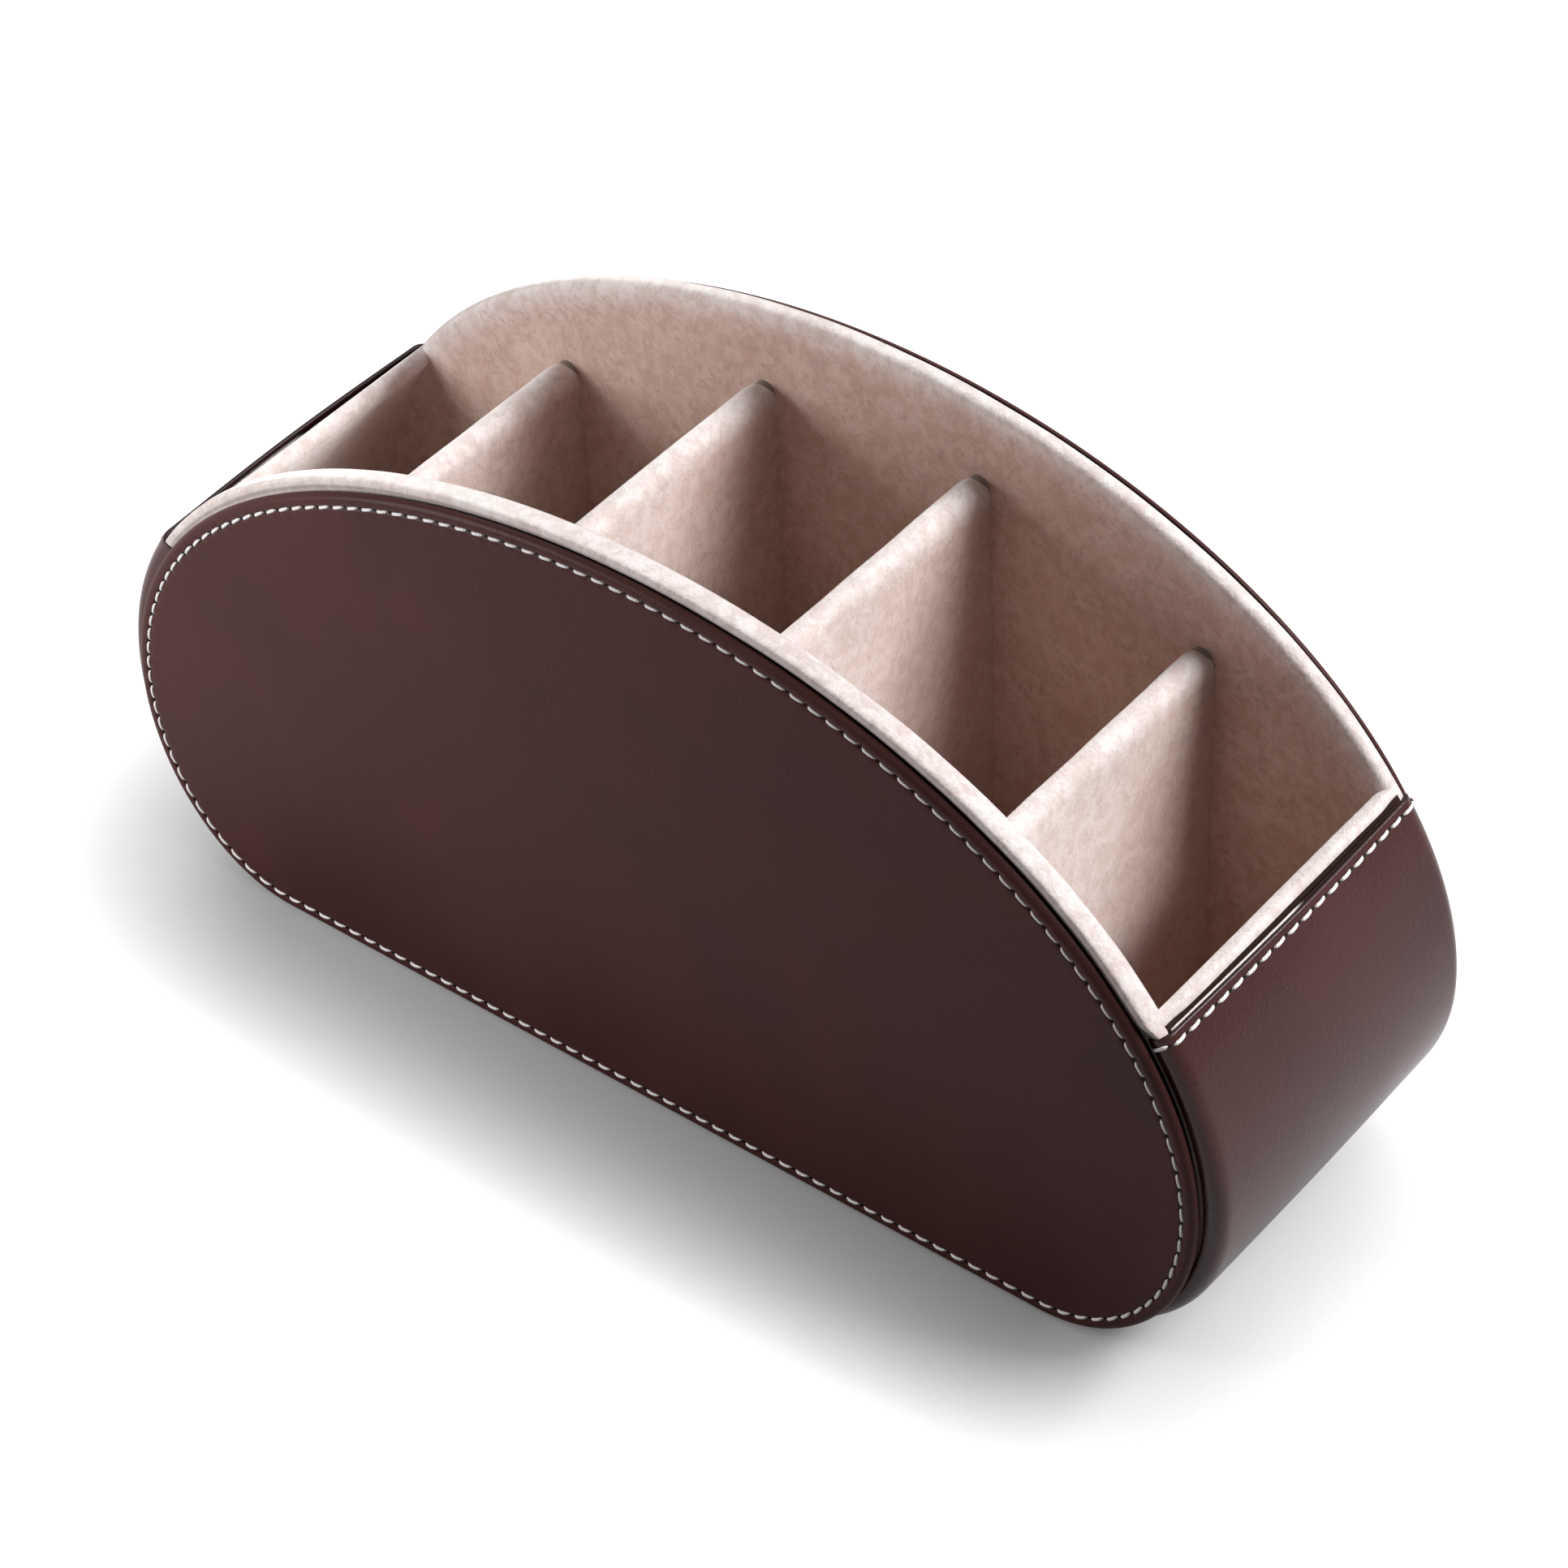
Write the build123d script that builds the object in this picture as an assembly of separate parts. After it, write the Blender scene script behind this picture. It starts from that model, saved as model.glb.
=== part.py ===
from build123d import *
import math
import os

# A five-compartment caddy with a domed front and rear. A tray of stiff board wrapped in suede
# holds the compartments. A stitched leather panel covers its front and another its rear, and
# a leather band runs down one end, under the floor and up the other end.
# Frame: X along the length, Y from front to rear, Z up, in millimetres. The origin is on the
# table, under the middle of the body.

# Outline of the leather panels, seen from the front
PANEL_LENGTH = 240.0  # across the widest place
PANEL_HEIGHT = 124.4  # from the table to the crown
WAIST_HEIGHT = 40.7  # level of the widest place
FLAT_LENGTH = 176.0  # straight stretch of the bottom edge

# Make-up of a leather panel
PANEL_BOARD = 1.9
PANEL_LEATHER = 1.0
PANEL_EDGE_RADIUS = 1.4

# Tray
CLEAR_DEPTH = 65.8  # between the front and the rear wall
SUEDE = 0.6
WALL_BOARD = 2.5  # board of the front and rear walls
WRAP_BOARD = 2.4  # board that bends from end to end as end walls and floor
TRAY_PROUD_SIDE = 2.5  # how far the tray stands out past the leather panels at the waist
TRAY_PROUD_TOP = 2.0  # and at the crown
END_RIM_RISE = 36.8  # level of the end rims above the waist
RIM_FLAT = 0.1  # narrow flat left on a rounded rim

# Dividers
COMPARTMENT_WIDTH = 42.1
DIVIDER_BOARD = 4.0
INNER_DIVIDER_DROP = 15.2  # crown of an inner divider below the dome rim at its place
OUTER_DIVIDER_DROP = 17.0

# Leather band and base
BAND_LEATHER = 0.9
BAND_LINING = 0.4
BAND_SETBACK = 0.6  # from the outer face of a tray wall
BAND_EDGE_DROP = 0.7  # edge of the band below the middle of the end rim, along the wall
FELT = 1.1
FELT_INSET = 3.0

# Stitches
STITCH_LENGTH = 2.6
STITCH_WIDTH = 0.75
STITCH_RISE = 0.25
PANEL_STITCH_PITCH = 3.83
PANEL_STITCH_INSET = 2.6
HEM_STITCH_PITCH = 4.0
HEM_STITCH_INSET = 2.3
HEM_STITCH_MARGIN = 0.7  # from the side of the band to the first stitch

# Levels and places that follow
WALL = WALL_BOARD + 2 * SUEDE
WRAP = WRAP_BOARD + 2 * SUEDE
DIVIDER = DIVIDER_BOARD + 2 * SUEDE
PANEL = PANEL_BOARD + PANEL_LEATHER
CLEAR_Y = CLEAR_DEPTH / 2
WALL_Y = CLEAR_Y + WALL
BAND_Y = WALL_Y - BAND_SETBACK
TRAY_BOTTOM = FELT + BAND_LEATHER + BAND_LINING
FLAT_X = FLAT_LENGTH / 2


def half_length(depth):
    """Half the tray's length at a depth inside its outer face; a negative depth lies outside."""
    return PANEL_LENGTH / 2 + TRAY_PROUD_SIDE - depth


def dome_rise(depth):
    """Height of the tray's dome above the waist at a depth inside its outer face."""
    return PANEL_HEIGHT - WAIST_HEIGHT + TRAY_PROUD_TOP - depth


def outline(half, rise, bottom):
    """Closed outline: a half ellipse above the waist, two elliptic corners and a flat bottom."""
    corner_x = half - FLAT_X
    corner_z = WAIST_HEIGHT - bottom
    dome = EllipticalCenterArc((0, WAIST_HEIGHT), half, rise, 0, arc_size=180)
    left = EllipticalCenterArc((-FLAT_X, WAIST_HEIGHT), corner_x, corner_z, 180, arc_size=90)
    flat = Line((-FLAT_X, bottom), (FLAT_X, bottom))
    right = EllipticalCenterArc((FLAT_X, WAIST_HEIGHT), corner_x, corner_z, 270, arc_size=90)
    return Curve() + [dome, left, flat, right]


def tray_face(depth):
    """Face inside the tray's outline, at a depth inside its outer surface."""
    return make_face(outline(half_length(depth), dome_rise(depth), TRAY_BOTTOM + depth))


def panel_face(inset):
    """Face inside the leather panel's outline, shrunk by an inset."""
    half = PANEL_LENGTH / 2 - inset
    rise = PANEL_HEIGHT - WAIST_HEIGHT - inset
    return make_face(outline(half, rise, inset))


def slab(face, y_front, y_rear):
    """Solid that fills a front-view face from one Y to another."""
    return extrude(Plane.XZ.offset(-y_rear) * face, y_rear - y_front)


def end_angle(depth, along):
    """Eccentric angle of a point on an end wall, at a depth inside its outer face.

    The point is abreast of the one in the middle of the wall's thickness that lies so far above
    the middle of the rim.
    """
    half, rise = half_length(WRAP / 2), dome_rise(WRAP / 2)
    angle = math.asin(END_RIM_RISE / rise)
    across, up = half * math.sin(angle), rise * math.cos(angle)
    lean = math.atan2(across, up) - angle
    return angle + (along + (WRAP / 2 - depth) * math.sin(lean)) / math.hypot(across, up)


def end_to_end(depth, along):
    """Curve down one end, under the floor and up the other, at a depth inside the outer face."""
    half, rise, bottom = half_length(depth), dome_rise(depth), TRAY_BOTTOM + depth
    corner_x, corner_z = half - FLAT_X, WAIST_HEIGHT - bottom
    sweep = math.degrees(end_angle(depth, along))
    left = EllipticalCenterArc((0, WAIST_HEIGHT), half, rise, 180 - sweep, arc_size=sweep)
    left_corner = EllipticalCenterArc((-FLAT_X, WAIST_HEIGHT), corner_x, corner_z, 180, arc_size=90)
    flat = Line((-FLAT_X, bottom), (FLAT_X, bottom))
    right_corner = EllipticalCenterArc((FLAT_X, WAIST_HEIGHT), corner_x, corner_z, 270, arc_size=90)
    right = EllipticalCenterArc((0, WAIST_HEIGHT), half, rise, 0, arc_size=sweep)
    return [left, left_corner, flat, right_corner, right]


def flat_end(inner, outer):
    """Flat edge across the top of a layer."""
    return Line(inner, outer)


def round_end(inner, outer):
    """Half-round edge across the top of a layer."""
    half = (outer - inner) / 2
    crest = Vector(-half.Y, half.X) if half.X > 0 else Vector(half.Y, -half.X)
    return ThreePointArc(inner, inner + half + crest, outer)


def end_layer(outer_depth, inner_depth, along, end=flat_end):
    """Front-view face of a layer of the bent wall that ends so far above the rims' middle."""
    outer, inner = end_to_end(outer_depth, along), end_to_end(inner_depth, along)
    ends = [end(inner[0] @ 0, outer[0] @ 0), end(inner[-1] @ 1, outer[-1] @ 1)]
    return make_face(Curve() + [*outer, *inner, *ends])


def wall_solids():
    """Board and suede of a tray wall that stands with its middle on Y = 0."""
    board_face = make_face(outline(half_length(SUEDE), dome_rise(SUEDE), TRAY_BOTTOM))
    board = slab(board_face, -WALL_BOARD / 2, WALL_BOARD / 2)
    body = slab(tray_face(0), -WALL / 2, WALL / 2)
    rim = [e for e in body.edges() if e.center().Z > WAIST_HEIGHT and e.length > WALL]
    return board, fillet(rim, (WALL - RIM_FLAT) / 2) - board


def panel_solids():
    """Board and leather of a panel whose rear face lies on Y = 0 and front face on -PANEL."""
    board_face = panel_face(PANEL_LEATHER)
    board = slab(board_face, -PANEL_BOARD, 0)
    body = slab(panel_face(0), -PANEL, 0)
    front = body.faces().sort_by(Axis.Y)[0]
    return board, fillet(front.edges(), PANEL_EDGE_RADIUS) - board


def stitch():
    """One stitch along X, standing on the plane Z = 0."""
    return Pos(0, 0, STITCH_RISE / 2) * Box(STITCH_LENGTH, STITCH_WIDTH, STITCH_RISE)


def panel_stitches():
    """Ring of stitches on the face of a panel, which lies on Y = -PANEL."""
    edges = panel_face(PANEL_STITCH_INSET).face().outer_wire()
    count = round(edges.length / PANEL_STITCH_PITCH)
    one = stitch()
    stitches = []
    for number in range(count):
        place = edges.position_at(number / count)
        along = edges.tangent_at(number / count)
        origin = (place.X, -PANEL, place.Y)
        seat = Plane(origin, x_dir=(along.X, 0, along.Y), z_dir=(0, -1, 0))
        stitches.append(seat * one)
    return Compound(children=stitches)


def hem_stitches():
    """Row of stitches along the edge of the band at the right end."""
    depth = -BAND_LINING - BAND_LEATHER
    half, rise = half_length(depth), dome_rise(depth)
    angle = end_angle(depth, -BAND_EDGE_DROP - HEM_STITCH_INSET)
    origin = Vector(half * math.cos(angle), 0, WAIST_HEIGHT + rise * math.sin(angle))
    normal = Vector(math.cos(angle) / half, 0, math.sin(angle) / rise)
    seat = Plane(origin, x_dir=(0, 1, 0), z_dir=normal)
    run = 2 * (BAND_Y - HEM_STITCH_MARGIN) - STITCH_LENGTH
    count = round(run / HEM_STITCH_PITCH) + 1
    spots = GridLocations(run / (count - 1), 1, count, 1)
    return Compound(children=[seat * spot * stitch() for spot in spots])


def dome_height(x):
    """Level of the dome rim at a place along the length."""
    return WAIST_HEIGHT + dome_rise(0) * math.sqrt(1 - (x / half_length(0)) ** 2)


def divider_solids(x, drop):
    """Board and suede of the divider whose middle stands at x."""
    crown = dome_height(x) - drop
    height = crown - TRAY_BOTTOM
    room = tray_face(WRAP)
    block = Pos(x, TRAY_BOTTOM + height / 2) * Rectangle(DIVIDER, height)
    block = fillet(block.vertices().sort_by(Axis.Y)[-2:], (DIVIDER - RIM_FLAT) / 2)
    core_height = height - SUEDE
    core = Pos(x, TRAY_BOTTOM + core_height / 2) * Rectangle(DIVIDER_BOARD, core_height)
    core = fillet(core.vertices().sort_by(Axis.Y)[-2:], (DIVIDER_BOARD - RIM_FLAT) / 2)
    board = slab(core & room, -CLEAR_Y, CLEAR_Y)
    suede = slab((block - core) & room, -CLEAR_Y, CLEAR_Y)
    return board, suede


def build():
    """Every node of the caddy, by name."""
    nodes = {}
    panel_board, panel_leather = panel_solids()
    panel_parts = {"board": panel_board, "leather": panel_leather, "stitching": panel_stitches()}
    for name, shape in panel_parts.items():
        front = Pos(0, -WALL_Y, 0) * shape
        nodes[f"front_panel_{name}"] = front
        nodes[f"rear_panel_{name}"] = mirror(front, about=Plane.XZ)

    wall_board, wall_suede = wall_solids()
    for name, shape in {"board": wall_board, "suede": wall_suede}.items():
        for end, side in (("front", -1), ("rear", 1)):
            nodes[f"{end}_wall_{name}"] = Pos(0, side * (CLEAR_Y + WALL / 2), 0) * shape

    body = end_layer(0, WRAP, 0, round_end)
    core = end_layer(SUEDE, WRAP - SUEDE, 0, round_end)
    nodes["wrap_board"] = slab(core, -CLEAR_Y, CLEAR_Y)
    nodes["wrap_suede"] = slab(body - core, -CLEAR_Y, CLEAR_Y)

    places = ((-1.5, OUTER_DIVIDER_DROP), (-0.5, INNER_DIVIDER_DROP))
    places += tuple((-step, drop) for step, drop in reversed(places))
    for number, (step, drop) in enumerate(places, start=1):
        x = step * (COMPARTMENT_WIDTH + DIVIDER)
        board, suede = divider_solids(x, drop)
        nodes[f"divider_board_{number}"] = board
        nodes[f"divider_suede_{number}"] = suede

    lining = end_layer(-BAND_LINING, 0, -BAND_EDGE_DROP)
    leather = end_layer(-BAND_LINING - BAND_LEATHER, -BAND_LINING, -BAND_EDGE_DROP)
    nodes["band_lining"] = slab(lining, -BAND_Y, BAND_Y)
    nodes["band_leather"] = slab(leather, -BAND_Y, BAND_Y)
    nodes["right_hem_stitching"] = hem_stitches()
    nodes["left_hem_stitching"] = mirror(nodes["right_hem_stitching"], about=Plane.YZ)

    felt = Box(FLAT_LENGTH - 2 * FELT_INSET, 2 * (BAND_Y - FELT_INSET), FELT)
    nodes["base_felt"] = Pos(0, 0, FELT / 2) * felt
    return nodes


os.makedirs("parts", exist_ok=True)
for node, shape in build().items():
    export_step(shape, f"parts/{node}.step")
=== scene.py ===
"""Five-compartment caddy in dark leather and beige suede, dressed over its solid frame.

The tray's walls, dividers and rims are wrapped in napped suede. A leather panel with a ring of
thread covers its front, another its rear, and a leather band with a sewn hem at each end runs
under the floor. All sizes here are millimetres; a mesh is scaled to metres when it is written.
"""

from __future__ import annotations

import logging
import math
from dataclasses import dataclass, replace
from enum import Enum

import bpy
import numpy as np
from mathutils import Matrix, Vector

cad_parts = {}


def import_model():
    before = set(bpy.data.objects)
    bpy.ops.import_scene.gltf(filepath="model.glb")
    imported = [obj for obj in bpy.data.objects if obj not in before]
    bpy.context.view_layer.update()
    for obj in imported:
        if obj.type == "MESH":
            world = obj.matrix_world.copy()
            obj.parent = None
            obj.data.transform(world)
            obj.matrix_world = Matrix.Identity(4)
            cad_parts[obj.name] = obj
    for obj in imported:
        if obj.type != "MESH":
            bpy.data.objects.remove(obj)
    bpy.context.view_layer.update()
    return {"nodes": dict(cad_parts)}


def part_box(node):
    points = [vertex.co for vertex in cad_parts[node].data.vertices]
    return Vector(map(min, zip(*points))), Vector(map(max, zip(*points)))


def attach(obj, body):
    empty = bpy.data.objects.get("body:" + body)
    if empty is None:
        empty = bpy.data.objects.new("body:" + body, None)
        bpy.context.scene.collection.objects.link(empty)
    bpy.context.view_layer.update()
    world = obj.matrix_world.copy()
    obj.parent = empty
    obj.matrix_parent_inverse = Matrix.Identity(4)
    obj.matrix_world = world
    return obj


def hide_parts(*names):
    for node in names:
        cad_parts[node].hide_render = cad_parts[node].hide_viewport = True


LOG = logging.getLogger("caddy")
MM = 0.001
BODY = "root"
MEASURED = 20001  # points at which the length of a stretch of outline is measured
Array = np.ndarray
Color = Place = tuple[float, float, float]
Object, Material = bpy.types.Object, bpy.types.Material
Tree, Node, Socket = bpy.types.NodeTree, bpy.types.Node, bpy.types.NodeSocket


class Named(Enum):
    """A sign with a name."""

    @property
    def word(self) -> str:
        """The name as node names spell it."""
        return self.name.lower()


class Side(Named):
    """The two long sides of the caddy, as the sign of their Y."""

    FRONT = -1
    REAR = 1


class End(Named):
    """The two ends of the caddy, as the sign of their X."""

    LEFT = -1
    RIGHT = 1


# ---- outline and sizes ----


@dataclass(frozen=True)
class Outline:
    """Front-view outline: half an ellipse above the waist, two elliptic corners, a flat bottom.

    A station runs once round it from 0 to 4: the dome from right to left, the left corner, the
    flat from left to right and the right corner. Stations repeat every 4.
    """

    half: float  # half the width at the waist
    rise: float  # height of the dome above the waist
    bottom: float  # height of the flat
    waist: float = 40.7  # height of the waist
    flat_x: float = 88.0  # half the length of the flat

    def _angle(self, station: Array) -> tuple[Array, Array]:
        """Eccentric angle of each station and the number of the stretch it lies on.

        Args:
            station: Stations, any shape.

        Returns:
            The angles in radians, and stretches as 0 dome, 1 left, 2 flat, 3 right.
        """
        local = np.mod(station, 4.0)
        stretch = np.minimum(local.astype(int), 3)
        turns = [np.pi * local, np.pi * (local + 1.0) / 2.0, local, np.pi * local / 2.0]
        return np.choose(stretch, turns), stretch

    def points(self, station: Array, depth: Array | float = 0.0) -> Array:
        """Points (x, z) of the outline shrunk by a depth.

        The dome is (a cos, waist + b sin) with both semi-axes less the depth. A corner is a
        quarter ellipse about (+-flat_x, waist), and the flat rises by the depth.

        Args:
            station: Stations, broadcast against depth.
            depth: Distance inside the outline; a negative one lies outside.

        Returns:
            Array with a last axis of x and z.
        """
        station, depth = np.broadcast_arrays(station, depth)
        angle, stretch = self._angle(station)
        cos, sin = np.cos(angle), np.sin(angle)
        dome_x = (self.half - depth) * cos
        corner = (self.half - depth - self.flat_x) * cos
        flat = self.flat_x * 2.0 * (np.mod(station, 4.0) - 2.5)
        x = np.choose(stretch, [dome_x, corner - self.flat_x, flat, corner + self.flat_x])
        dome_z = (self.rise - depth) * sin
        low = (self.waist - self.bottom - depth) * sin
        z = np.choose(stretch, [dome_z, low, depth + self.bottom - self.waist, low])
        return np.stack([x, z + self.waist], axis=-1)

    def normals(self, station: Array, depth: Array | float = 0.0) -> Array:
        """Outward unit normals (x, z): an ellipse's is (cos / a, sin / b), made one long.

        Args:
            station: Stations, broadcast against depth.
            depth: Distance inside the outline.

        Returns:
            Array with a last axis of x and z.
        """
        station, depth = np.broadcast_arrays(station, depth)
        angle, stretch = self._angle(station)
        corner_x = self.half - depth - self.flat_x
        corner_z = self.waist - self.bottom - depth
        across = np.choose(stretch, [self.half - depth, corner_x, np.inf, corner_x])
        up = np.choose(stretch, [self.rise - depth, corner_z, 1.0, corner_z])
        sin = np.where(stretch == 2, -1.0, np.sin(angle))
        normal = np.stack([np.cos(angle) / across, sin / up], axis=-1)
        return normal / np.linalg.norm(normal, axis=-1, keepdims=True)

    def _steps(self, first: float, last: float, depth: float) -> tuple[Array, Array]:
        """Dense stations between two, and the length from each of them to the next."""
        dense = np.linspace(first, last, MEASURED)
        return dense, np.linalg.norm(np.diff(self.points(dense, depth), axis=0), axis=1)

    def spaced(self, first: float, last: float, lengths: Array | int, depth: float = 0.0) -> Array:
        """Stations at given distances along the outline, by inverting its running length.

        Args:
            first: Station where the distances start.
            last: Station where the outline's stretch ends.
            lengths: Distances in millimetres, or a number of even spaces.
            depth: Depth at which the distances are measured.

        Returns:
            The stations, one for each distance, or one more than the number of spaces.
        """
        dense, steps = self._steps(first, last, depth)
        running = np.concatenate([[0.0], np.cumsum(steps)])
        if isinstance(lengths, int):
            lengths = np.linspace(0.0, running[-1], lengths + 1)
        return np.interp(lengths, running, dense)

    def length(self, first: float, last: float, depth: float = 0.0) -> float:
        """Length in millimetres between two stations."""
        return float(self._steps(first, last, depth)[1].sum())


def solid_box(node: str) -> tuple[Array, Array]:
    """Lowest and highest corner of a solid, in millimetres."""
    low, high = (np.array(corner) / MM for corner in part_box(node))
    return low, high


@dataclass(frozen=True)
class Plan:
    """Sizes of the caddy, read from its solids, in millimetres."""

    panel: Outline  # outline of both leather panels
    tray: Outline  # outline of the tray's outer face
    clear_y: float  # inner face of the front and rear walls
    wall_y: float  # outer face of them
    wrap: float  # thickness of the bent wall
    rim_rise: float = 36.8  # height of the middle of both end rims above the waist

    @classmethod
    def read(cls) -> Plan:
        """Works the sizes out from the boxes of the loaded solids.

        Returns:
            The sizes.
        """
        waist = Outline.waist
        panel = solid_box("front_panel_leather")[1]
        tray_low, tray = solid_box("front_wall_suede")
        floor = solid_box("divider_suede_1")[0]
        return cls(
            panel=Outline(float(panel[0]), float(panel[2]) - waist, 0.0),
            tray=Outline(float(tray[0]), float(tray[2]) - waist, float(tray_low[2])),
            clear_y=float(solid_box("wrap_suede")[1][1]),
            wall_y=float(solid_box("rear_wall_suede")[1][1]),
            wrap=float(floor[2] - tray_low[2]),
        )

    @property
    def wall(self) -> float:
        """Thickness of the front and rear walls."""
        return self.wall_y - self.clear_y

    def end_station(self, depth: float, along: float) -> float:
        """Station on the right end wall, at a depth inside its outer face.

        The eccentric angle of the end rim's middle is asin(rim rise / dome rise). A depth away
        from the middle of the wall leans the spot over, so that it stays abreast of the middle.

        Args:
            depth: Depth inside the tray's outer face.
            along: Distance above the middle of the end rim, along the wall.

        Returns:
            The station, in the dome's first quarter.
        """
        half = self.tray.half - self.wrap / 2.0
        rise = self.tray.rise - self.wrap / 2.0
        angle = math.asin(self.rim_rise / rise)
        across, up = half * math.sin(angle), rise * math.cos(angle)
        lean = math.atan2(across, up) - angle
        angle += (along + (self.wrap / 2.0 - depth) * math.sin(lean)) / math.hypot(across, up)
        return angle / math.pi


# ---- mesh tools ----


def show(name: str, data: bpy.types.ID) -> Object:
    """Adds an object to the scene.

    Args:
        name: Name of the object.
        data: Mesh, lamp or camera that it shows.

    Returns:
        The new object.
    """
    obj = bpy.data.objects.new(name, data)
    bpy.context.scene.collection.objects.link(obj)
    return obj


@dataclass
class Sheet:
    """A grid of points with optional surface coordinates, which becomes quads."""

    points: Array  # rows by columns by (x, y, z)
    closed: bool = False  # whether the last column joins the first
    marks: Array | None = None  # rows by columns (one more where closed) by (u, v), or None

    def flipped(self) -> Sheet:
        """The marked grid with its columns in the other order, so that it faces the other way."""
        return Sheet(self.points[:, ::-1], self.closed, self.marks[:, ::-1])


class MeshBuilder:
    """Gathers grids, caps and fans into one mesh."""

    def __init__(self) -> None:
        """Starts with no points and no faces."""
        self._points: list[Array] = []
        self._faces: list[Array] = []
        self._marks: list[Array] = []
        self._count = 0

    def add(self, sheet: Sheet, first: bool = False, last: bool = False) -> None:
        """Adds a grid, and a fan to the middle of its first or last row where asked.

        Faces wind so that a grid whose rows climb and whose columns run anticlockwise, seen
        from outside, points outwards.

        Args:
            sheet: The grid.
            first: Whether to close the first row with a fan.
            last: Whether to close the last row with a fan.
        """
        rows, cols = sheet.points.shape[:2]
        index = np.arange(rows * cols).reshape(rows, cols) + self._count
        wrapped = np.concatenate([index, index[:, :1]], axis=1) if sheet.closed else index
        marks = np.zeros((*wrapped.shape, 2)) if sheet.marks is None else sheet.marks
        quads, corners = (
            np.stack([grid[:-1, :-1], grid[:-1, 1:], grid[1:, 1:], grid[1:, :-1]], axis=2)
            for grid in (wrapped, marks)
        )
        self._put(sheet.points.reshape(-1, 3), quads.reshape(-1, 4), corners)
        for wanted, row, flip in ((first, 0, True), (last, -1, False)):
            if wanted:
                self._fan(wrapped[row], sheet.points[row], marks[row], flip)

    def _fan(self, ring: Array, points: Array, marks: Array, flip: bool) -> None:
        """Closes a ring with triangles to its middle.

        Args:
            ring: Numbers of the ring's points, the first again at the end.
            points: Places of them.
            marks: Surface coordinates of the ring.
            flip: Whether the triangles face back along the rows.
        """
        apex = np.full(len(ring) - 1, self._count)
        mean = np.broadcast_to(marks.mean(axis=0), marks[1:].shape)
        order = [1, 0, 2] if flip else [0, 1, 2]
        faces = np.stack([ring[:-1], ring[1:], apex], axis=-1)[:, order]
        corners = np.stack([marks[:-1], marks[1:], mean], axis=1)[:, order]
        self._put(points.mean(axis=0)[None], faces, corners)

    def _put(self, points: Array, faces: Array, marks: Array) -> None:
        """Stores part of the mesh.

        Args:
            points: Places of new points.
            faces: Numbers of the points of each face.
            marks: Surface coordinates, one for each face corner.
        """
        self._points.append(points)
        self._faces.append(faces)
        self._marks.append(marks.reshape(-1, 2))
        self._count += len(points)

    def mesh(self, name: str) -> bpy.types.Mesh:
        """Writes everything gathered so far into a mesh, in metres.

        Args:
            name: Name of the mesh.

        Returns:
            The mesh, smooth shaded, with a surface coordinate layer called seam.
        """
        points = np.concatenate(self._points) * MM
        sizes = np.concatenate([np.full(len(f), f.shape[1]) for f in self._faces])
        corners = np.concatenate([f.ravel() for f in self._faces])
        mesh = bpy.data.meshes.new(name)
        mesh.vertices.add(len(points))
        mesh.vertices.foreach_set("co", points.astype(np.float32).ravel())
        mesh.loops.add(len(corners))
        mesh.loops.foreach_set("vertex_index", corners.astype(np.int32))
        mesh.polygons.add(len(sizes))
        starts = np.concatenate([[0], np.cumsum(sizes)[:-1]])
        mesh.polygons.foreach_set("loop_start", starts.astype(np.int32))
        mesh.polygons.foreach_set("use_smooth", np.ones(len(sizes), bool))
        mesh.update(calc_edges=True)
        layer = mesh.uv_layers.new(name="seam")
        layer.data.foreach_set("uv", np.concatenate(self._marks).astype(np.float32).ravel())
        mesh.validate()
        return mesh


@dataclass(frozen=True)
class Piece:
    """A finished piece and the solid it stands for."""

    name: str
    node: str
    slot: str

    def place(self, builder: MeshBuilder, material: Material) -> None:
        """Puts a gathered mesh into the scene in place of the solid.

        Args:
            builder: The gathered mesh.
            material: Finish of the piece.
        """
        obj = show(self.name, builder.mesh(self.name))
        obj.data.materials.append(material)
        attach(obj, BODY)
        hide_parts(self.node)
        LOG.info("%s: %d faces for %s", self.name, len(obj.data.polygons), self.node)

    def cover(self, sheet: Sheet, material: Material) -> None:
        """Puts one grid, closed with a fan at both ends, in place of the solid.

        Args:
            sheet: The grid.
            material: Finish of the piece.
        """
        builder = MeshBuilder()
        builder.add(sheet, first=True, last=True)
        self.place(builder, material)


def lifted(front: Array, y: Array | float) -> Array:
    """Points (x, y, z) from front-view points (x, z) and their places along Y."""
    return np.stack(np.broadcast_arrays(front[..., 0], y, front[..., 1]), axis=-1)


def running(first: Array, second: Array) -> Array:
    """Running length along a line, from the two coordinates of its points."""
    return np.concatenate([[0.0], np.cumsum(np.hypot(np.diff(first), np.diff(second)))])


def swell(points: Array, size: float, seed: float) -> Array:
    """Gentle uneven height of a hand-wrapped face, from -1 to 1.

    It is the mean of three crossed sine waves with wavelengths of one, 0.6 and 0.37 sizes.

    Args:
        points: Points (x, y, z).
        size: Longest wavelength in millimetres.
        seed: Shift that makes one face differ from another.

    Returns:
        One height for each point.
    """
    x, y, z = np.moveaxis(points, -1, 0)
    turn = 2.0 * np.pi / size
    wide = np.sin(turn * (x + 0.6 * z) + seed) * np.cos(turn * (0.7 * y - z) + 2.1 * seed)
    middle = np.sin(turn / 0.6 * (z - 0.4 * x + 0.5 * y) + 3.3 * seed)
    small = np.sin(turn / 0.37 * (x - y) + 1.7 * seed) * np.sin(turn / 0.37 * z + seed)
    return (wide + middle + small) / 3.0


# ---- shader tools ----


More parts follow.
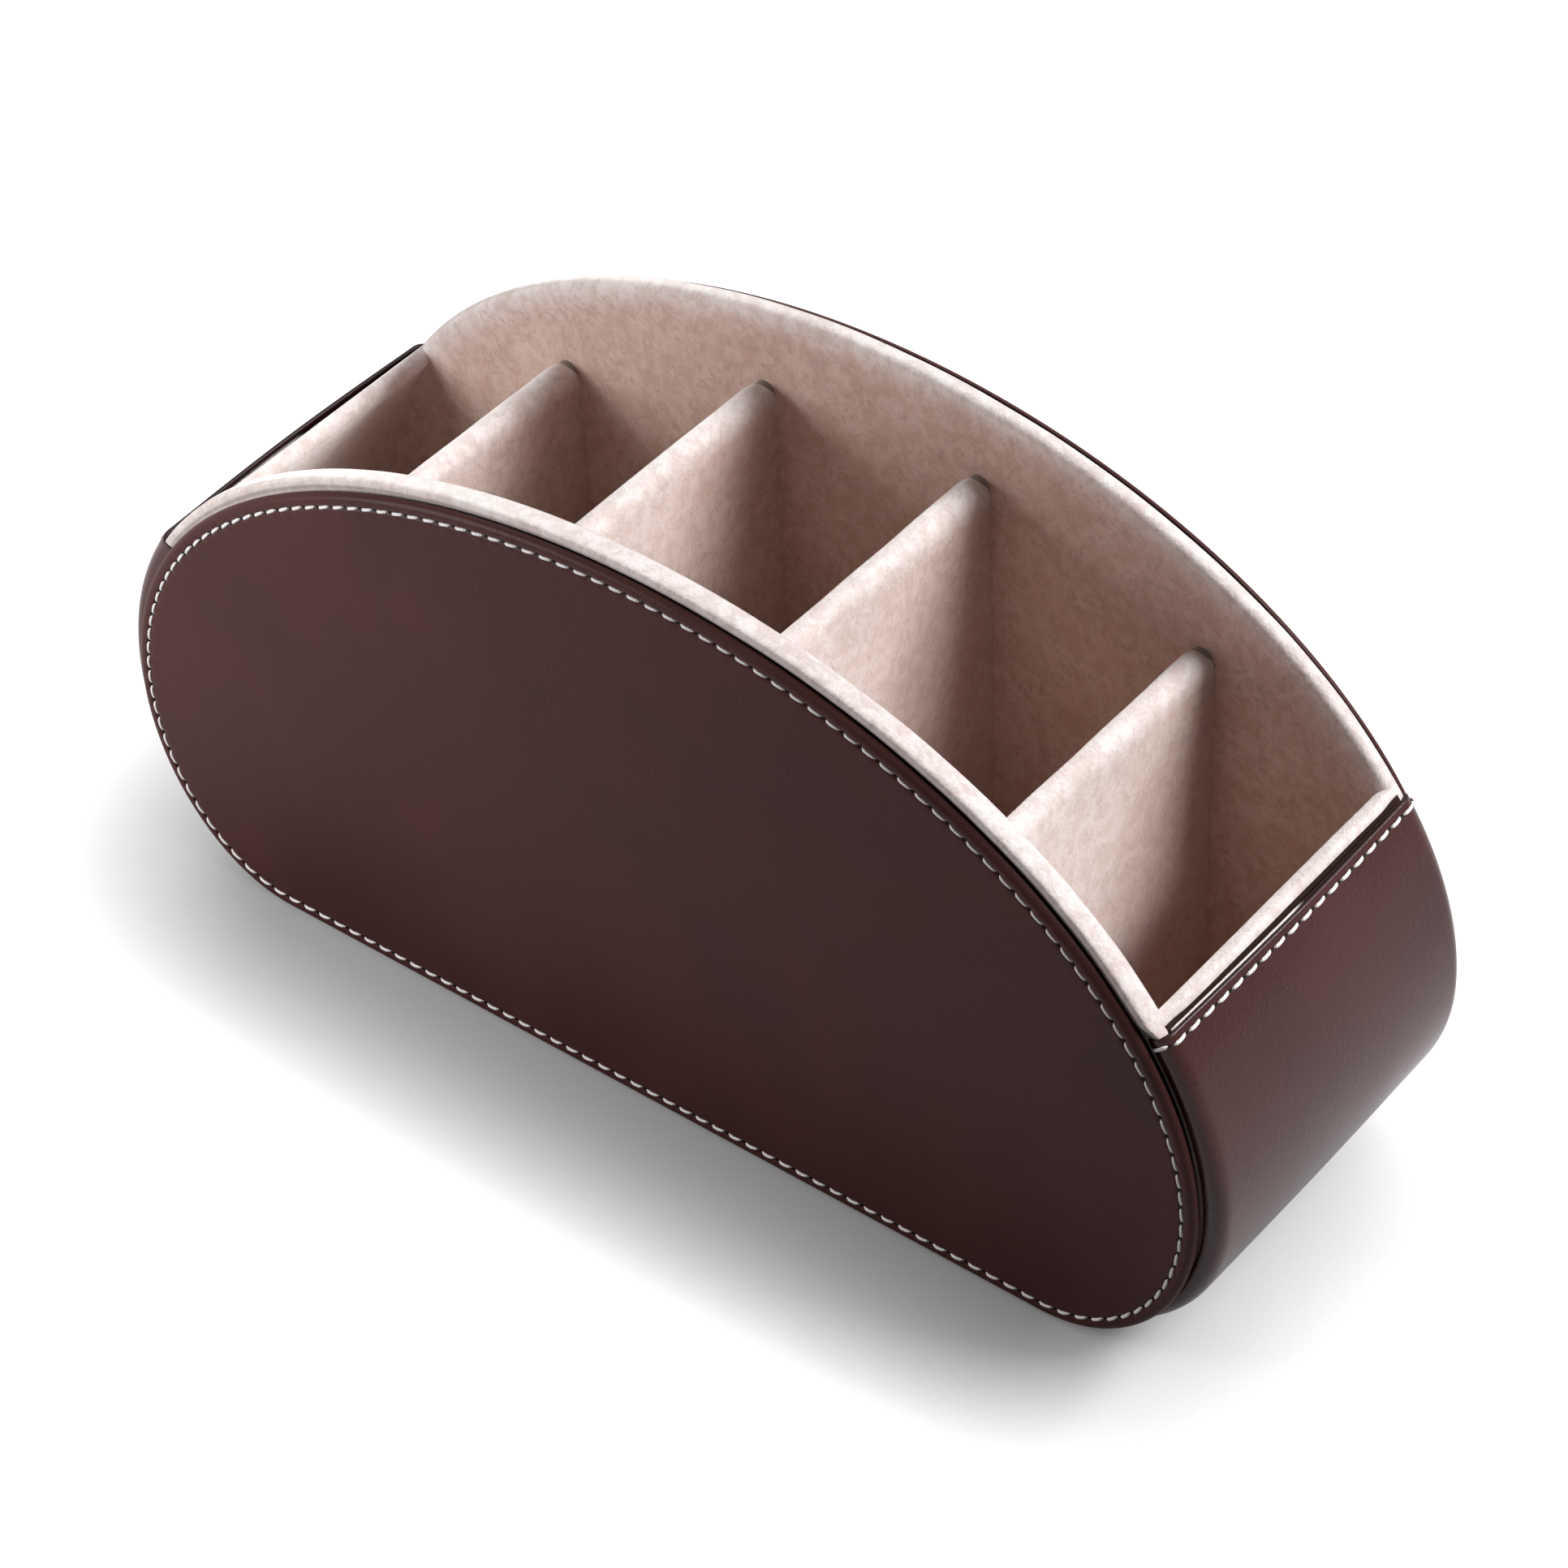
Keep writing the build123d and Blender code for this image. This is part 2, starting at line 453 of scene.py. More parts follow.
class Bench:
    """Short ways to add and join shader nodes in one tree."""

    def __init__(self, tree: Tree) -> None:
        """Works on a tree."""
        self.tree = tree

    def join(self, source: object, socket: Socket) -> None:
        """Joins an output to an input, or sets the input.

        Args:
            source: Output, or a number, a vector or an opaque colour.
            socket: Input that takes it.
        """
        if isinstance(source, Socket):
            self.tree.links.new(source, socket)
        elif socket.type == "RGBA":
            socket.default_value = (*source, 1.0)
        else:
            socket.default_value = source

    def feed(self, node: Node, **sources: object) -> Node:
        """Joins or sets inputs, named with underscores for spaces.

        Args:
            node: Node whose inputs are fed.
            **sources: An output or a plain value for each input.

        Returns:
            The same node.
        """
        for name, source in sources.items():
            self.join(source, node.inputs[name.replace("_", " ")])
        return node

    def add(self, kind: str, **values: object) -> Node:
        """Adds a node.

        Args:
            kind: Type of the node without its ShaderNode prefix.
            **values: Inputs, whose names start with a capital, and settings of the node.

        Returns:
            The node.
        """
        node = self.tree.nodes.new(f"ShaderNode{kind}")
        for name, value in values.items():
            if name[0].islower():
                setattr(node, name, value)
        return self.feed(node, **{name: v for name, v in values.items() if name[0].isupper()})

    def _work(self, kind: str, operation: str, sources: tuple[object, ...]) -> Node:
        """Adds a node that works out a sum.

        Args:
            kind: Type of the node.
            operation: Name of the sum.
            sources: Outputs or plain values, in the order of the node's inputs.

        Returns:
            The node.
        """
        node = self.add(kind, operation=operation)
        for source, socket in zip(sources, node.inputs):
            self.join(source, socket)
        return node

    def math(self, operation: str, *sources: object) -> Socket:
        """Result of a sum on one to three numbers."""
        return self._work("Math", operation, sources).outputs[0]

    def vector(self, operation: str, *sources: object) -> Node:
        """Node of a sum on one to three vectors."""
        return self._work("VectorMath", operation, sources)

    def rest(self, value: object) -> Socket:
        """What a value leaves of 1."""
        return self.math("SUBTRACT", 1.0, value)

    def product(self, first: object, second: object, third: object = None) -> Socket:
        """Product of two or three numbers."""
        pair = self.math("MULTIPLY", first, second)
        return pair if third is None else self.math("MULTIPLY", pair, third)

    def split(self, vector: object) -> tuple[Socket, Socket]:
        """First and second part of a vector."""
        parts = self.add("SeparateXYZ", Vector=vector).outputs
        return parts[0], parts[1]

    def ramp(self, value: object, low: float, high: float, to: float = 1.0) -> Socket:
        """Smooth step of a value from 0 at low to a limit at high.

        Args:
            value: Output to step.
            low: Value that gives 0.
            high: Value that gives the limit.
            to: The limit.

        Returns:
            The stepped value.
        """
        step = self.add(
            "MapRange",
            interpolation_type="SMOOTHSTEP",
            Value=value,
            From_Min=low,
            From_Max=high,
            To_Min=0.0,
            To_Max=to,
        )
        return step.outputs["Result"]

    def noise(self, place: object, scale: object, detail: float = 3.0) -> Socket:
        """Noise value at a place."""
        node = self.add("TexNoise", Vector=place, Scale=scale, Detail=detail, Roughness=0.55)
        return node.outputs["Fac"]

    def bent(self, place: object, scale: float, by: float) -> Socket:
        """Place moved by a noise's colour times a distance, so that a straight line wanders.

        Args:
            place: Place to move.
            scale: Scale of the noise.
            by: Longest move along each axis, in metres.

        Returns:
            The moved place.
        """
        noise = self.add("TexNoise", Vector=place, Scale=scale, Detail=2.0)
        moved = self.vector("MULTIPLY_ADD", noise.outputs["Color"], (by, by, by), place)
        return moved.outputs[0]

    def bump(self, height: object, strength: float, distance: float) -> Socket:
        """Normal of a fine relief, with its distance in metres."""
        node = self.add("Bump", Height=height, Strength=strength, Distance=distance)
        return node.outputs[0]

    def mix(self, factor: object, first: object, second: object) -> Socket:
        """Colour between two colours.

        Args:
            factor: 0 for the first colour, 1 for the second.
            first: Colour or output.
            second: Colour or output.

        Returns:
            The mixed colour.
        """
        node = self.add("Mix", data_type="RGBA")
        for source, number in ((factor, 0), (first, 6), (second, 7)):
            self.join(source, node.inputs[number])
        return node.outputs[2]

    def use(self, group: Tree, **sources: object) -> Node:
        """Places a shared effect and feeds it."""
        return self.feed(self.add("Group", node_tree=group), **sources)


class Effects:
    """Shader effects that several finishes share, each built once."""

    def __init__(self) -> None:
        """Builds every shared effect."""
        self.nap = self._nap()
        self.grain = self._grain()
        self.fold = self._fold()
        self.needle_holes = self._needle_holes()

    @staticmethod
    def _start(
        name: str, inputs: dict[str, float | None], outputs: list[str]
    ) -> tuple[Bench, bpy.types.NodeOutputs, Node]:
        """Starts a group with named sockets.

        Args:
            name: Name of the group.
            inputs: Names with a number each, or None for a vector.
            outputs: Names of the values that it puts out.

        Returns:
            A bench on the group's tree, its inputs by name, and its output node.
        """
        tree = bpy.data.node_groups.new(name, "ShaderNodeTree")
        for label, value in inputs.items():
            kind = "NodeSocketVector" if value is None else "NodeSocketFloat"
            socket = tree.interface.new_socket(name=label, in_out="INPUT", socket_type=kind)
            if value is not None:
                socket.default_value = value
        for label in outputs:
            tree.interface.new_socket(name=label, in_out="OUTPUT", socket_type="NodeSocketFloat")
        given = tree.nodes.new("NodeGroupInput").outputs
        return Bench(tree), given, tree.nodes.new("NodeGroupOutput")

    def _nap(self) -> Tree:
        """Napped suede: wide brushed areas, small blotches, fine fibres, dark specks and creases.

        The tone is 0.28 of the patches, 0.46 of the blotches and 0.26 of the fibres. Specks show
        only where a wider noise gathers them, and creases, which are edges of cells, only where
        another noise presses them.

        Returns:
            A group that puts out the tone of the nap, its height, and masks of the specks and of
            the creases, which run from 0 to 1.
        """
        scales = {"Patch": 75.0, "Blotch": 380.0, "Fibre": 1500.0, "Speck": 820.0, "Crease": 105.0}
        bench, given, result = self._start(
            "nap", {"Vector": None, **scales}, ["Tone", "Height", "Specks", "Creases"]
        )
        place = given["Vector"]
        bent = bench.bent(place, scale=120.0, by=0.004)
        lean = bench.add("Mapping", Vector=bent, Rotation=(0.5, 0.7, 0.0), Scale=(1.0, 1.0, 0.85))
        brushed = lean.outputs[0]
        patch = bench.ramp(bench.noise(place, given["Patch"]), 0.34, 0.66, to=0.28)
        blotch = bench.ramp(bench.noise(brushed, given["Blotch"], 5.0), 0.38, 0.62, to=0.46)
        fibre = bench.ramp(bench.noise(brushed, given["Fibre"], 2.0), 0.34, 0.66, to=0.26)
        tone = bench.math("ADD", bench.math("ADD", patch, blotch), fibre)
        height = bench.math("ADD", bench.product(blotch, 1.3), bench.product(fibre, 1.9))
        gathered = bench.ramp(bench.noise(place, 150.0, 2.0), 0.38, 0.62)
        speck = bench.ramp(bench.noise(brushed, given["Speck"]), 0.5, 0.66)
        cell = bench.add(
            "TexVoronoi", feature="DISTANCE_TO_EDGE", Vector=bent, Scale=given["Crease"]
        )
        line = bench.rest(bench.ramp(cell.outputs["Distance"], 0.0, 0.045))
        pressed = bench.ramp(bench.noise(place, 60.0, 2.0), 0.48, 0.62)
        bench.feed(result, Tone=tone, Height=height)
        bench.feed(
            result, Specks=bench.product(speck, gathered), Creases=bench.product(line, pressed)
        )
        return bench.tree

    def _fold(self) -> Tree:
        """A pressed fold: how near a place is to a straight stretch, bent a little by noise.

        With a and b the ends, the nearest spot is a + t (b - a), where t is the share of the way
        limited from 0 to 1. The mask falls from 1 on the stretch to 0 at the width.

        Returns:
            A group that puts out a mask of the fold.
        """
        bench, given, result = self._start(
            "fold", {"Vector": None, "Start": None, "Stop": None, "Width": 0.0005}, ["Mask"]
        )
        bent = bench.bent(given["Vector"], scale=160.0, by=0.0016)
        way = bench.vector("SUBTRACT", given["Stop"], given["Start"]).outputs[0]
        from_start = bench.vector("SUBTRACT", bent, given["Start"]).outputs[0]
        along = bench.vector("DOT_PRODUCT", from_start, way).outputs["Value"]
        size = bench.vector("DOT_PRODUCT", way, way).outputs["Value"]
        share = bench.math("MINIMUM", bench.math("DIVIDE", along, size), 1.0)
        share = bench.math("MAXIMUM", share, 0.0)
        nearest = bench.feed(bench.vector("SCALE", way), Scale=share).outputs[0]
        away = bench.vector("DISTANCE", from_start, nearest).outputs["Value"]
        near = bench.math("DIVIDE", away, given["Width"])
        bench.feed(result, Mask=bench.rest(bench.ramp(near, 0.2, 1.0)))
        return bench.tree

    def _grain(self) -> Tree:
        """Leather grain: fine rounded pebbles with pores, that swell and fade over the hide.

        Returns:
            A group that puts out the grain's height, and a slow blotch from 0 to 1.
        """
        bench, given, result = self._start(
            "grain", {"Vector": None, "Pebble": 1500.0, "Blotch": 40.0}, ["Height", "Blotch"]
        )
        place, scale = given["Vector"], given["Pebble"]
        cell = bench.add(
            "TexVoronoi", feature="SMOOTH_F1", Vector=place, Scale=scale, Smoothness=0.6
        )
        pores = bench.noise(place, bench.product(scale, 0.31))
        fade = bench.ramp(bench.noise(place, 90.0, 2.0), 0.25, 0.75)
        strength = bench.math("MULTIPLY_ADD", fade, 0.6, 0.5)
        pebble = bench.product(cell.outputs["Distance"], strength)
        height = bench.math("ADD", pebble, bench.product(pores, 0.8))
        blotch = bench.ramp(bench.noise(place, given["Blotch"], 2.0), 0.2, 0.8)
        bench.feed(result, Height=height, Blotch=blotch)
        return bench.tree

    def _needle_holes(self) -> Tree:
        """Row of needle holes: a round spot wherever the first coordinate is whole.

        The first coordinate counts stitches and the second is the distance from the seam in
        millimetres, so a spot is where (fraction x pitch)^2 + distance^2 is small.

        Returns:
            A group that puts out a mask of the holes.
        """
        bench, given, result = self._start(
            "needle holes", {"Vector": None, "Pitch": 3.83, "Radius": 0.5}, ["Mask"]
        )
        stitch, across = bench.split(given["Vector"])
        fraction = bench.math("SUBTRACT", stitch, bench.math("ROUND", stitch))
        along = bench.product(fraction, given["Pitch"])
        square = bench.math("ADD", bench.product(along, along), bench.product(across, across))
        reach = bench.math("DIVIDE", bench.math("SQRT", square), given["Radius"])
        bench.feed(result, Mask=bench.rest(bench.ramp(reach, 0.45, 1.0)))
        return bench.tree


# ---- finishes ----


def start_material(name: str) -> tuple[Material, Bench, Node]:
    """New material with only its shader and output.

    Args:
        name: Name of the finish.

    Returns:
        The material, a bench on its tree and the shader node.
    """
    material = bpy.data.materials.new(name)
    material.use_nodes = True
    return material, Bench(material.node_tree), material.node_tree.nodes["Principled BSDF"]


@dataclass(frozen=True)
class SuedeFinish:
    """Short-napped suede, brushed patches, rims paled by use and painted light, a few pressed
    folds.
    """

    name: str
    shade: Color  # tone of the nap where it is brushed dark
    light: Color  # tone where it is brushed light
    rubbed_and_lit: Color = (0.835, 0.762, 0.738)  # pale tone of suede paled by use, raised as a painted highlight where light falls
    dull: Color = (0.9, 0.86, 0.86)  # factors that take it to its dullest
    fresh: Color = (1.07, 1.07, 1.08)  # factors that take it to its palest
    gap_shade_tone: Color = (0.03, 0.014, 0.011)  # near-black tone painted as the shade in the gap beside a turned edge
    stain: float = 0.62  # tone of specks, creases and folds, as a share of the shade
    specks: float = 0.42  # how strong the specks are
    creases: float = 0.3  # how strong the creases are
    # both ends in millimetres of each fold, and how dark it is
    folds: tuple[tuple[Place, Place, float], ...] = ()

    def material(self, effects: Effects) -> Material:
        """Builds the suede.

        The first surface coordinate masks painted gap shade and the second one paleness, from use
        and as a painted highlight. The nap makes that paleness patchy at its border, and pale
        suede loses most of its specks and creases.

        Args:
            effects: The shared effects.

        Returns:
            The material.
        """
        material, bench, shader = start_material(self.name)
        coord = bench.add("TexCoord")
        place = coord.outputs["Object"]
        gap_shade, wear_and_light = bench.split(coord.outputs["UV"])
        nap = bench.use(effects.nap, Vector=place).outputs
        # Paleness from use, plus a painted highlight on rims and divider fronts where light falls.
        patchy = bench.math("MULTIPLY_ADD", nap["Tone"], 0.3, 0.8)
        rub_and_light = bench.math("MINIMUM", bench.product(wear_and_light, patchy), 1.0)
        dull, fresh = (
            tuple(tone * part for tone, part in zip(self.rubbed_and_lit, share))
            for share in (self.dull, self.fresh)
        )
        worn_and_lit = bench.mix(bench.ramp(nap["Tone"], 0.05, 0.95), dull, fresh)
        tone = bench.mix(rub_and_light, bench.mix(nap["Tone"], self.shade, self.light), worn_and_lit)
        stain = tuple(self.stain * part for part in self.shade)
        kept = bench.rest(bench.product(rub_and_light, 0.75))
        specks = bench.product(nap["Specks"], kept, self.specks)
        creases = bench.product(nap["Creases"], kept, self.creases)
        tone = bench.mix(bench.math("MAXIMUM", specks, creases), tone, stain)
        # Near-black painted shade in the gap beside a seam's turned edge.
        seam = bench.ramp(gap_shade, 0.0, 1.0)
        tone = bench.mix(seam, tone, self.gap_shade_tone)
        depth = bench.math("SUBTRACT", nap["Height"], bench.product(creases, 1.6))
        for start, stop, dark in self.folds:
            fold = bench.use(
                effects.fold, Vector=place, Start=Vector(start) * MM, Stop=Vector(stop) * MM
            )
            mask = fold.outputs["Mask"]
            tone = bench.mix(bench.product(mask, dark), tone, stain)
            depth = bench.math("SUBTRACT", depth, bench.product(mask, 2.2 * dark))
        normal = bench.bump(depth, strength=0.3, distance=0.0003)
        bench.feed(shader, Base_Color=tone, Normal=normal, Roughness=0.95, Specular_IOR_Level=0.15)
        bench.feed(shader, Sheen_Weight=bench.rest(seam), Sheen_Roughness=0.55)
        bench.feed(shader, Sheen_Tint=(1.0, 0.97, 0.95))
        return material


@dataclass(frozen=True)
class LeatherFinish:
    """Smooth coated leather with fine grain, edge paint that doubles as painted shade, and needle
    holes.
    """

    name: str
    dark: Color  # darker tone of the hide
    warm: Color  # warmer tone of it
    edge: Color  # tone of the edge paint, dark enough to also be painted shade on the crevice and hem edge
    roughness: float  # middle roughness of the coat
    index: float  # index of refraction of the coat, which sets how much it mirrors
    pitch: float = 3.83  # length of a stitch
    grain: float = 0.14  # strength of the grain
    edge_from: float = 3.3  # distance from the seam at which the painted edge starts
    edge_soft: float = 0.25  # distance over which it starts
    hole: Color = (0.002, 0.001, 0.001)  # near-black tone painted in needle holes, as the shade inside them

    def material(self, effects: Effects) -> Material:
        """Builds the leather.

        The second surface coordinate is the distance from the seam, so the painted edge starts
        where it passes a set distance on the outer side. Its dark tone also stands for the shade
        that falls in the panel's crevice and on the hem's edge.

        Args:
            effects: The shared effects.

        Returns:
            The material.
        """
        material, bench, shader = start_material(self.name)
        coord = bench.add("TexCoord").outputs
        grain = bench.use(effects.grain, Vector=coord["Object"]).outputs
        seam = coord["UV"]
        holes = bench.use(effects.needle_holes, Vector=seam, Pitch=self.pitch).outputs["Mask"]
        outward = bench.split(seam)[1]
        # Edge paint, whose dark tone also paints the shade on that edge.
        painted = bench.ramp(outward, self.edge_from, self.edge_from + self.edge_soft)
        tone = bench.mix(grain["Blotch"], self.dark, self.warm)
        # Needle holes get a near-black tone painted as the shade inside them.
        tone = bench.mix(holes, bench.mix(painted, tone, self.edge), self.hole)
        rough = bench.math("MULTIPLY_ADD", grain["Blotch"], 0.1, self.roughness - 0.05)
        rough = bench.math("ADD", rough, bench.product(painted, 0.25))
        height = bench.math("SUBTRACT", grain["Height"], bench.product(holes, 2.5))
        normal = bench.bump(height, self.grain, distance=0.00025)
        bench.feed(shader, Base_Color=tone, Roughness=rough, Normal=normal, IOR=self.index)
        return material


@dataclass(frozen=True)
class ThreadFinish:
    """Waxed two-ply thread, twisted along its length."""

    name: str
    pale: Color
    shade: Color
    twists: float = 3.0

    def material(self) -> Material:
        """Builds the thread: a sine over the sum of both surface coordinates is its twist.

        Returns:
            The material.
        """
        material, bench, shader = start_material(self.name)
        along, around = bench.split(bench.add("TexCoord").outputs["UV"])
        turn = bench.math("ADD", bench.product(along, self.twists), around)
        wave = bench.math("SINE", bench.product(turn, 4.0 * math.pi))
        ply = bench.math("MULTIPLY_ADD", wave, 0.5, 0.5)
        normal = bench.bump(ply, strength=0.5, distance=0.0001)
        tone = bench.mix(ply, self.shade, self.pale)
        bench.feed(shader, Base_Color=tone, Normal=normal, Roughness=0.6, Sheen_Weight=0.7)
        return material


@dataclass(frozen=True)
class FeltFinish:
    """Pressed felt or grey board: a fine noise of fibres between two tones."""

    name: str
    dark: Color
    light: Color
    scale: float

    def material(self) -> Material:
        """Builds the felt or board.

        Returns:
            The material.
        """
        material, bench, shader = start_material(self.name)
        fibre = bench.noise(bench.add("TexCoord").outputs["Object"], self.scale, 5.0)
        normal = bench.bump(fibre, strength=0.4, distance=0.0003)
        tone = bench.mix(fibre, self.dark, self.light)
        bench.feed(shader, Base_Color=tone, Normal=normal, Roughness=0.95)
        return material


# ---- stitches ----


@dataclass(frozen=True)
class Stitching:
    """One kind of stitch, laid many times along a seam."""

    length: float = 3.1  # length of thread that shows
    radius: float = 0.34  # radius of the thread
    lift: float = 0.22  # how far the middle of the stitch rises off the leather
    slant: float = 0.14  # how far its ends lie to either side of the seam
    bow: float = 0.09  # how far its middle bends to one side
    sunk: float = 0.35  # depth of its ends, and their least radius, as a share of the radius
    flat: float = 0.8  # height of the thread's section as a share of its width
    rings: int = 8  # sections along a stitch
    sides: int = 6  # points round a section

    def lay(self, builder: MeshBuilder, origin: Array, along: Array, out: Array) -> None:
        """Adds a stitch at each place.

        With u from -1 to 1 along a stitch, its middle line is at length / 2 u along the seam,
        lift (1 - u^2) - sunk radius u^6 off the leather, and slant u + bow (u^2 - 1/3) across it.
        The thread's radius falls as (1 - u^6)^(1/2) to a third at the needle holes.

        Args:
            builder: Where the stitches go.
            origin: Place of each stitch on the leather, (n, 3).
            along: Unit direction of the seam at each, (n, 3).
            out: Unit normal of the leather at each, (n, 3).
        """
        u = np.linspace(-1.0, 1.0, self.rings)
        around = np.linspace(0.0, 1.0, self.sides + 1)
        turn = np.linspace(0.0, 2.0 * np.pi, self.sides + 1)[:-1]
        radius = self.radius * np.maximum(np.sqrt(1.0 - u**6), self.sunk)
        run = self.length / 2.0 * u
        rise = self.lift * (1.0 - u**2) - self.sunk * self.radius * (u**6)
        side = self.slant * u + self.bow * (u**2 - 1.0 / 3.0)
        ring_side = side[:, None] + radius[:, None] * np.cos(turn)
        ring_rise = rise[:, None] + self.flat * radius[:, None] * np.sin(turn)
        marks = np.stack(np.meshgrid((u + 1.0) / 2.0, around, indexing="ij"), axis=-1)
        for place, ahead, beside, up in zip(origin, along, np.cross(out, along), out):
            grid = (
                place
                + run[:, None, None] * ahead
                + ring_side[..., None] * beside
                + ring_rise[..., None] * up
            )
            builder.add(Sheet(grid, closed=True, marks=marks), first=True, last=True)


# ---- sub-assemblies ----


@dataclass(frozen=True)
class StitchedPanel:
    """Leather panel of one long side, lightly padded, with its ring of stitches."""

    plan: Plan
    side: Side
    seam: float = 2.6  # depth of the ring of stitches inside the outline
    stitch_pitch: float = 3.83  # length of a stitch
    per_stitch: int = 8  # columns of the mesh for each stitch
    thick: float = 2.9  # height of the face off the tray wall
    puff: float = 0.35  # how far the middle of the face stands proud of it
    dip: float = 0.26  # depth of the groove under the thread
    dip_width: float = 0.42  # half width of the groove
    pinch: float = 0.3  # how much deeper the groove is at a needle hole, as a share
    ripple: float = 0.035  # height of the waves that the stitches raise beside the seam
    ripple_width: float = 1.6  # how far from the seam the waves reach
    # height that is as far below the middle of the rings as the waist is above it
    heart: float = 15.0
    inside: float = -8.0  # distance from the seam that the whole middle is marked with

    @property
    def stitches(self) -> int:
        """Number of stitches in the ring."""
        return round(self.plan.panel.length(0.0, 4.0, self.seam) / self.stitch_pitch)

    def _stations(self, spaces: int) -> Array:
        """Evenly spaced stations round the seam, without the repeated last one."""
        return self.plan.panel.spaced(0.0, 4.0, spaces, self.seam)[:-1]

    def _profile(self) -> tuple[Array, Array, Array]:
        """Section of the panel from its back, out of a crevice and over its rolled edge.

        Returns:
            Depths inside the outline, heights off the tray wall, and running distances outwards
            from the seam, all in millimetres.
        """
        crevice = [(0.95, 0.0), (0.9, 0.45), (0.86, 0.85), (0.74, 1.1), (0.46, 1.22), (0.2, 1.29)]
        roll = [(0.05, 1.42), (0.0, 1.62), (0.04, 1.9), (0.17, 2.22), (0.4, 2.52), (0.72, 2.74)]
        roll.append((1.1, 2.86))
        crowded = (1.5, 1.8, 2.0, 2.2, 2.35, 2.48, 2.6, 2.72, 2.85, 3.0, 3.2, 3.6, 4.4, 6.0)
        edge = len(crevice) + len(roll)
        depth, height = np.array(crevice + roll + [(d, self.thick) for d in crowded]).T
        run = running(depth, height)
        return depth, height, np.interp(self.seam, depth[edge:], run[edge:]) - run

    def leather(self, material: Material) -> None:
        """Builds the leather as rings that follow the outline, then shrink to its middle.

        Off the edge the rings keep an even depth. A groove of dip exp(-(d / dip_width)^2) runs
        under the thread, pinched between stitches by a cosine of the stitch count, and the
        middle of the panel stands puff (1 - f^2) proud, where f is how far a ring has shrunk.

        Args:
            material: Leather of the panel.
        """
        count = self.stitches * self.per_stitch
        depth, height, outward = self._profile()
        ring = self.plan.panel.points(self._stations(count)[None], depth[:, None])
        beat = np.cos(2.0 * np.pi * np.arange(count) / self.per_stitch)
        off = (depth - self.seam)[:, None]
        dip = self.dip * np.exp(-((off / self.dip_width) ** 2)) * (1.0 + self.pinch * beat)
        beside = np.exp(-((off / self.ripple_width) ** 2)) * (depth[:, None] > 1.0)
        tall = height[:, None] - dip - self.ripple * beat * beside
        shrink = np.linspace(0.93, 0.06, 14)[:, None]
        middle = np.array([0.0, 0.5 * (self.plan.panel.waist + self.heart)])
        inner = middle + shrink[..., None] * (ring[-1][None] - middle)
        crown = self.thick + self.puff * (1.0 - shrink**2)
        points = np.concatenate([ring, inner])
        tall = np.concatenate([tall, np.broadcast_to(crown, (len(shrink), count))])
        grid = lifted(points, self.side.value * (self.plan.wall_y + tall))
        across = np.concatenate([outward, np.full(len(shrink), self.inside)])
        stitch = np.arange(count + 1) / self.per_stitch
        marks = np.stack(np.broadcast_arrays(stitch[None], across[:, None]), axis=-1)
        sheet = Sheet(grid, closed=True, marks=marks)
        word = self.side.word
        piece = Piece(f"{word}_leather_cover", f"{word}_panel_leather", "panel_leather")
        piece.cover(sheet.flipped() if self.side is Side.REAR else sheet, material)

    def stitching(self, material: Material) -> None:
        """Lays the ring of stitches, each halfway between two needle holes.

        Args:
            material: Thread.
        """
        station = self._stations(2 * self.stitches)[1::2]
        spot = self.plan.panel.points(station, self.seam)
        normal = self.plan.panel.normals(station, self.seam)
        sign = self.side.value
        level = sign * (self.plan.wall_y + self.thick - self.dip)
        along = lifted(normal[:, ::-1] * (-1.0, 1.0), 0.0)
        out = np.tile([0.0, float(sign), 0.0], (len(spot), 1))
        builder = MeshBuilder()
        Stitching().lay(builder, lifted(spot, level), along, out)
        word = self.side.word
        piece = Piece(f"{word}_cover_thread", f"{word}_panel_stitching", "stitching")
        piece.place(builder, material)


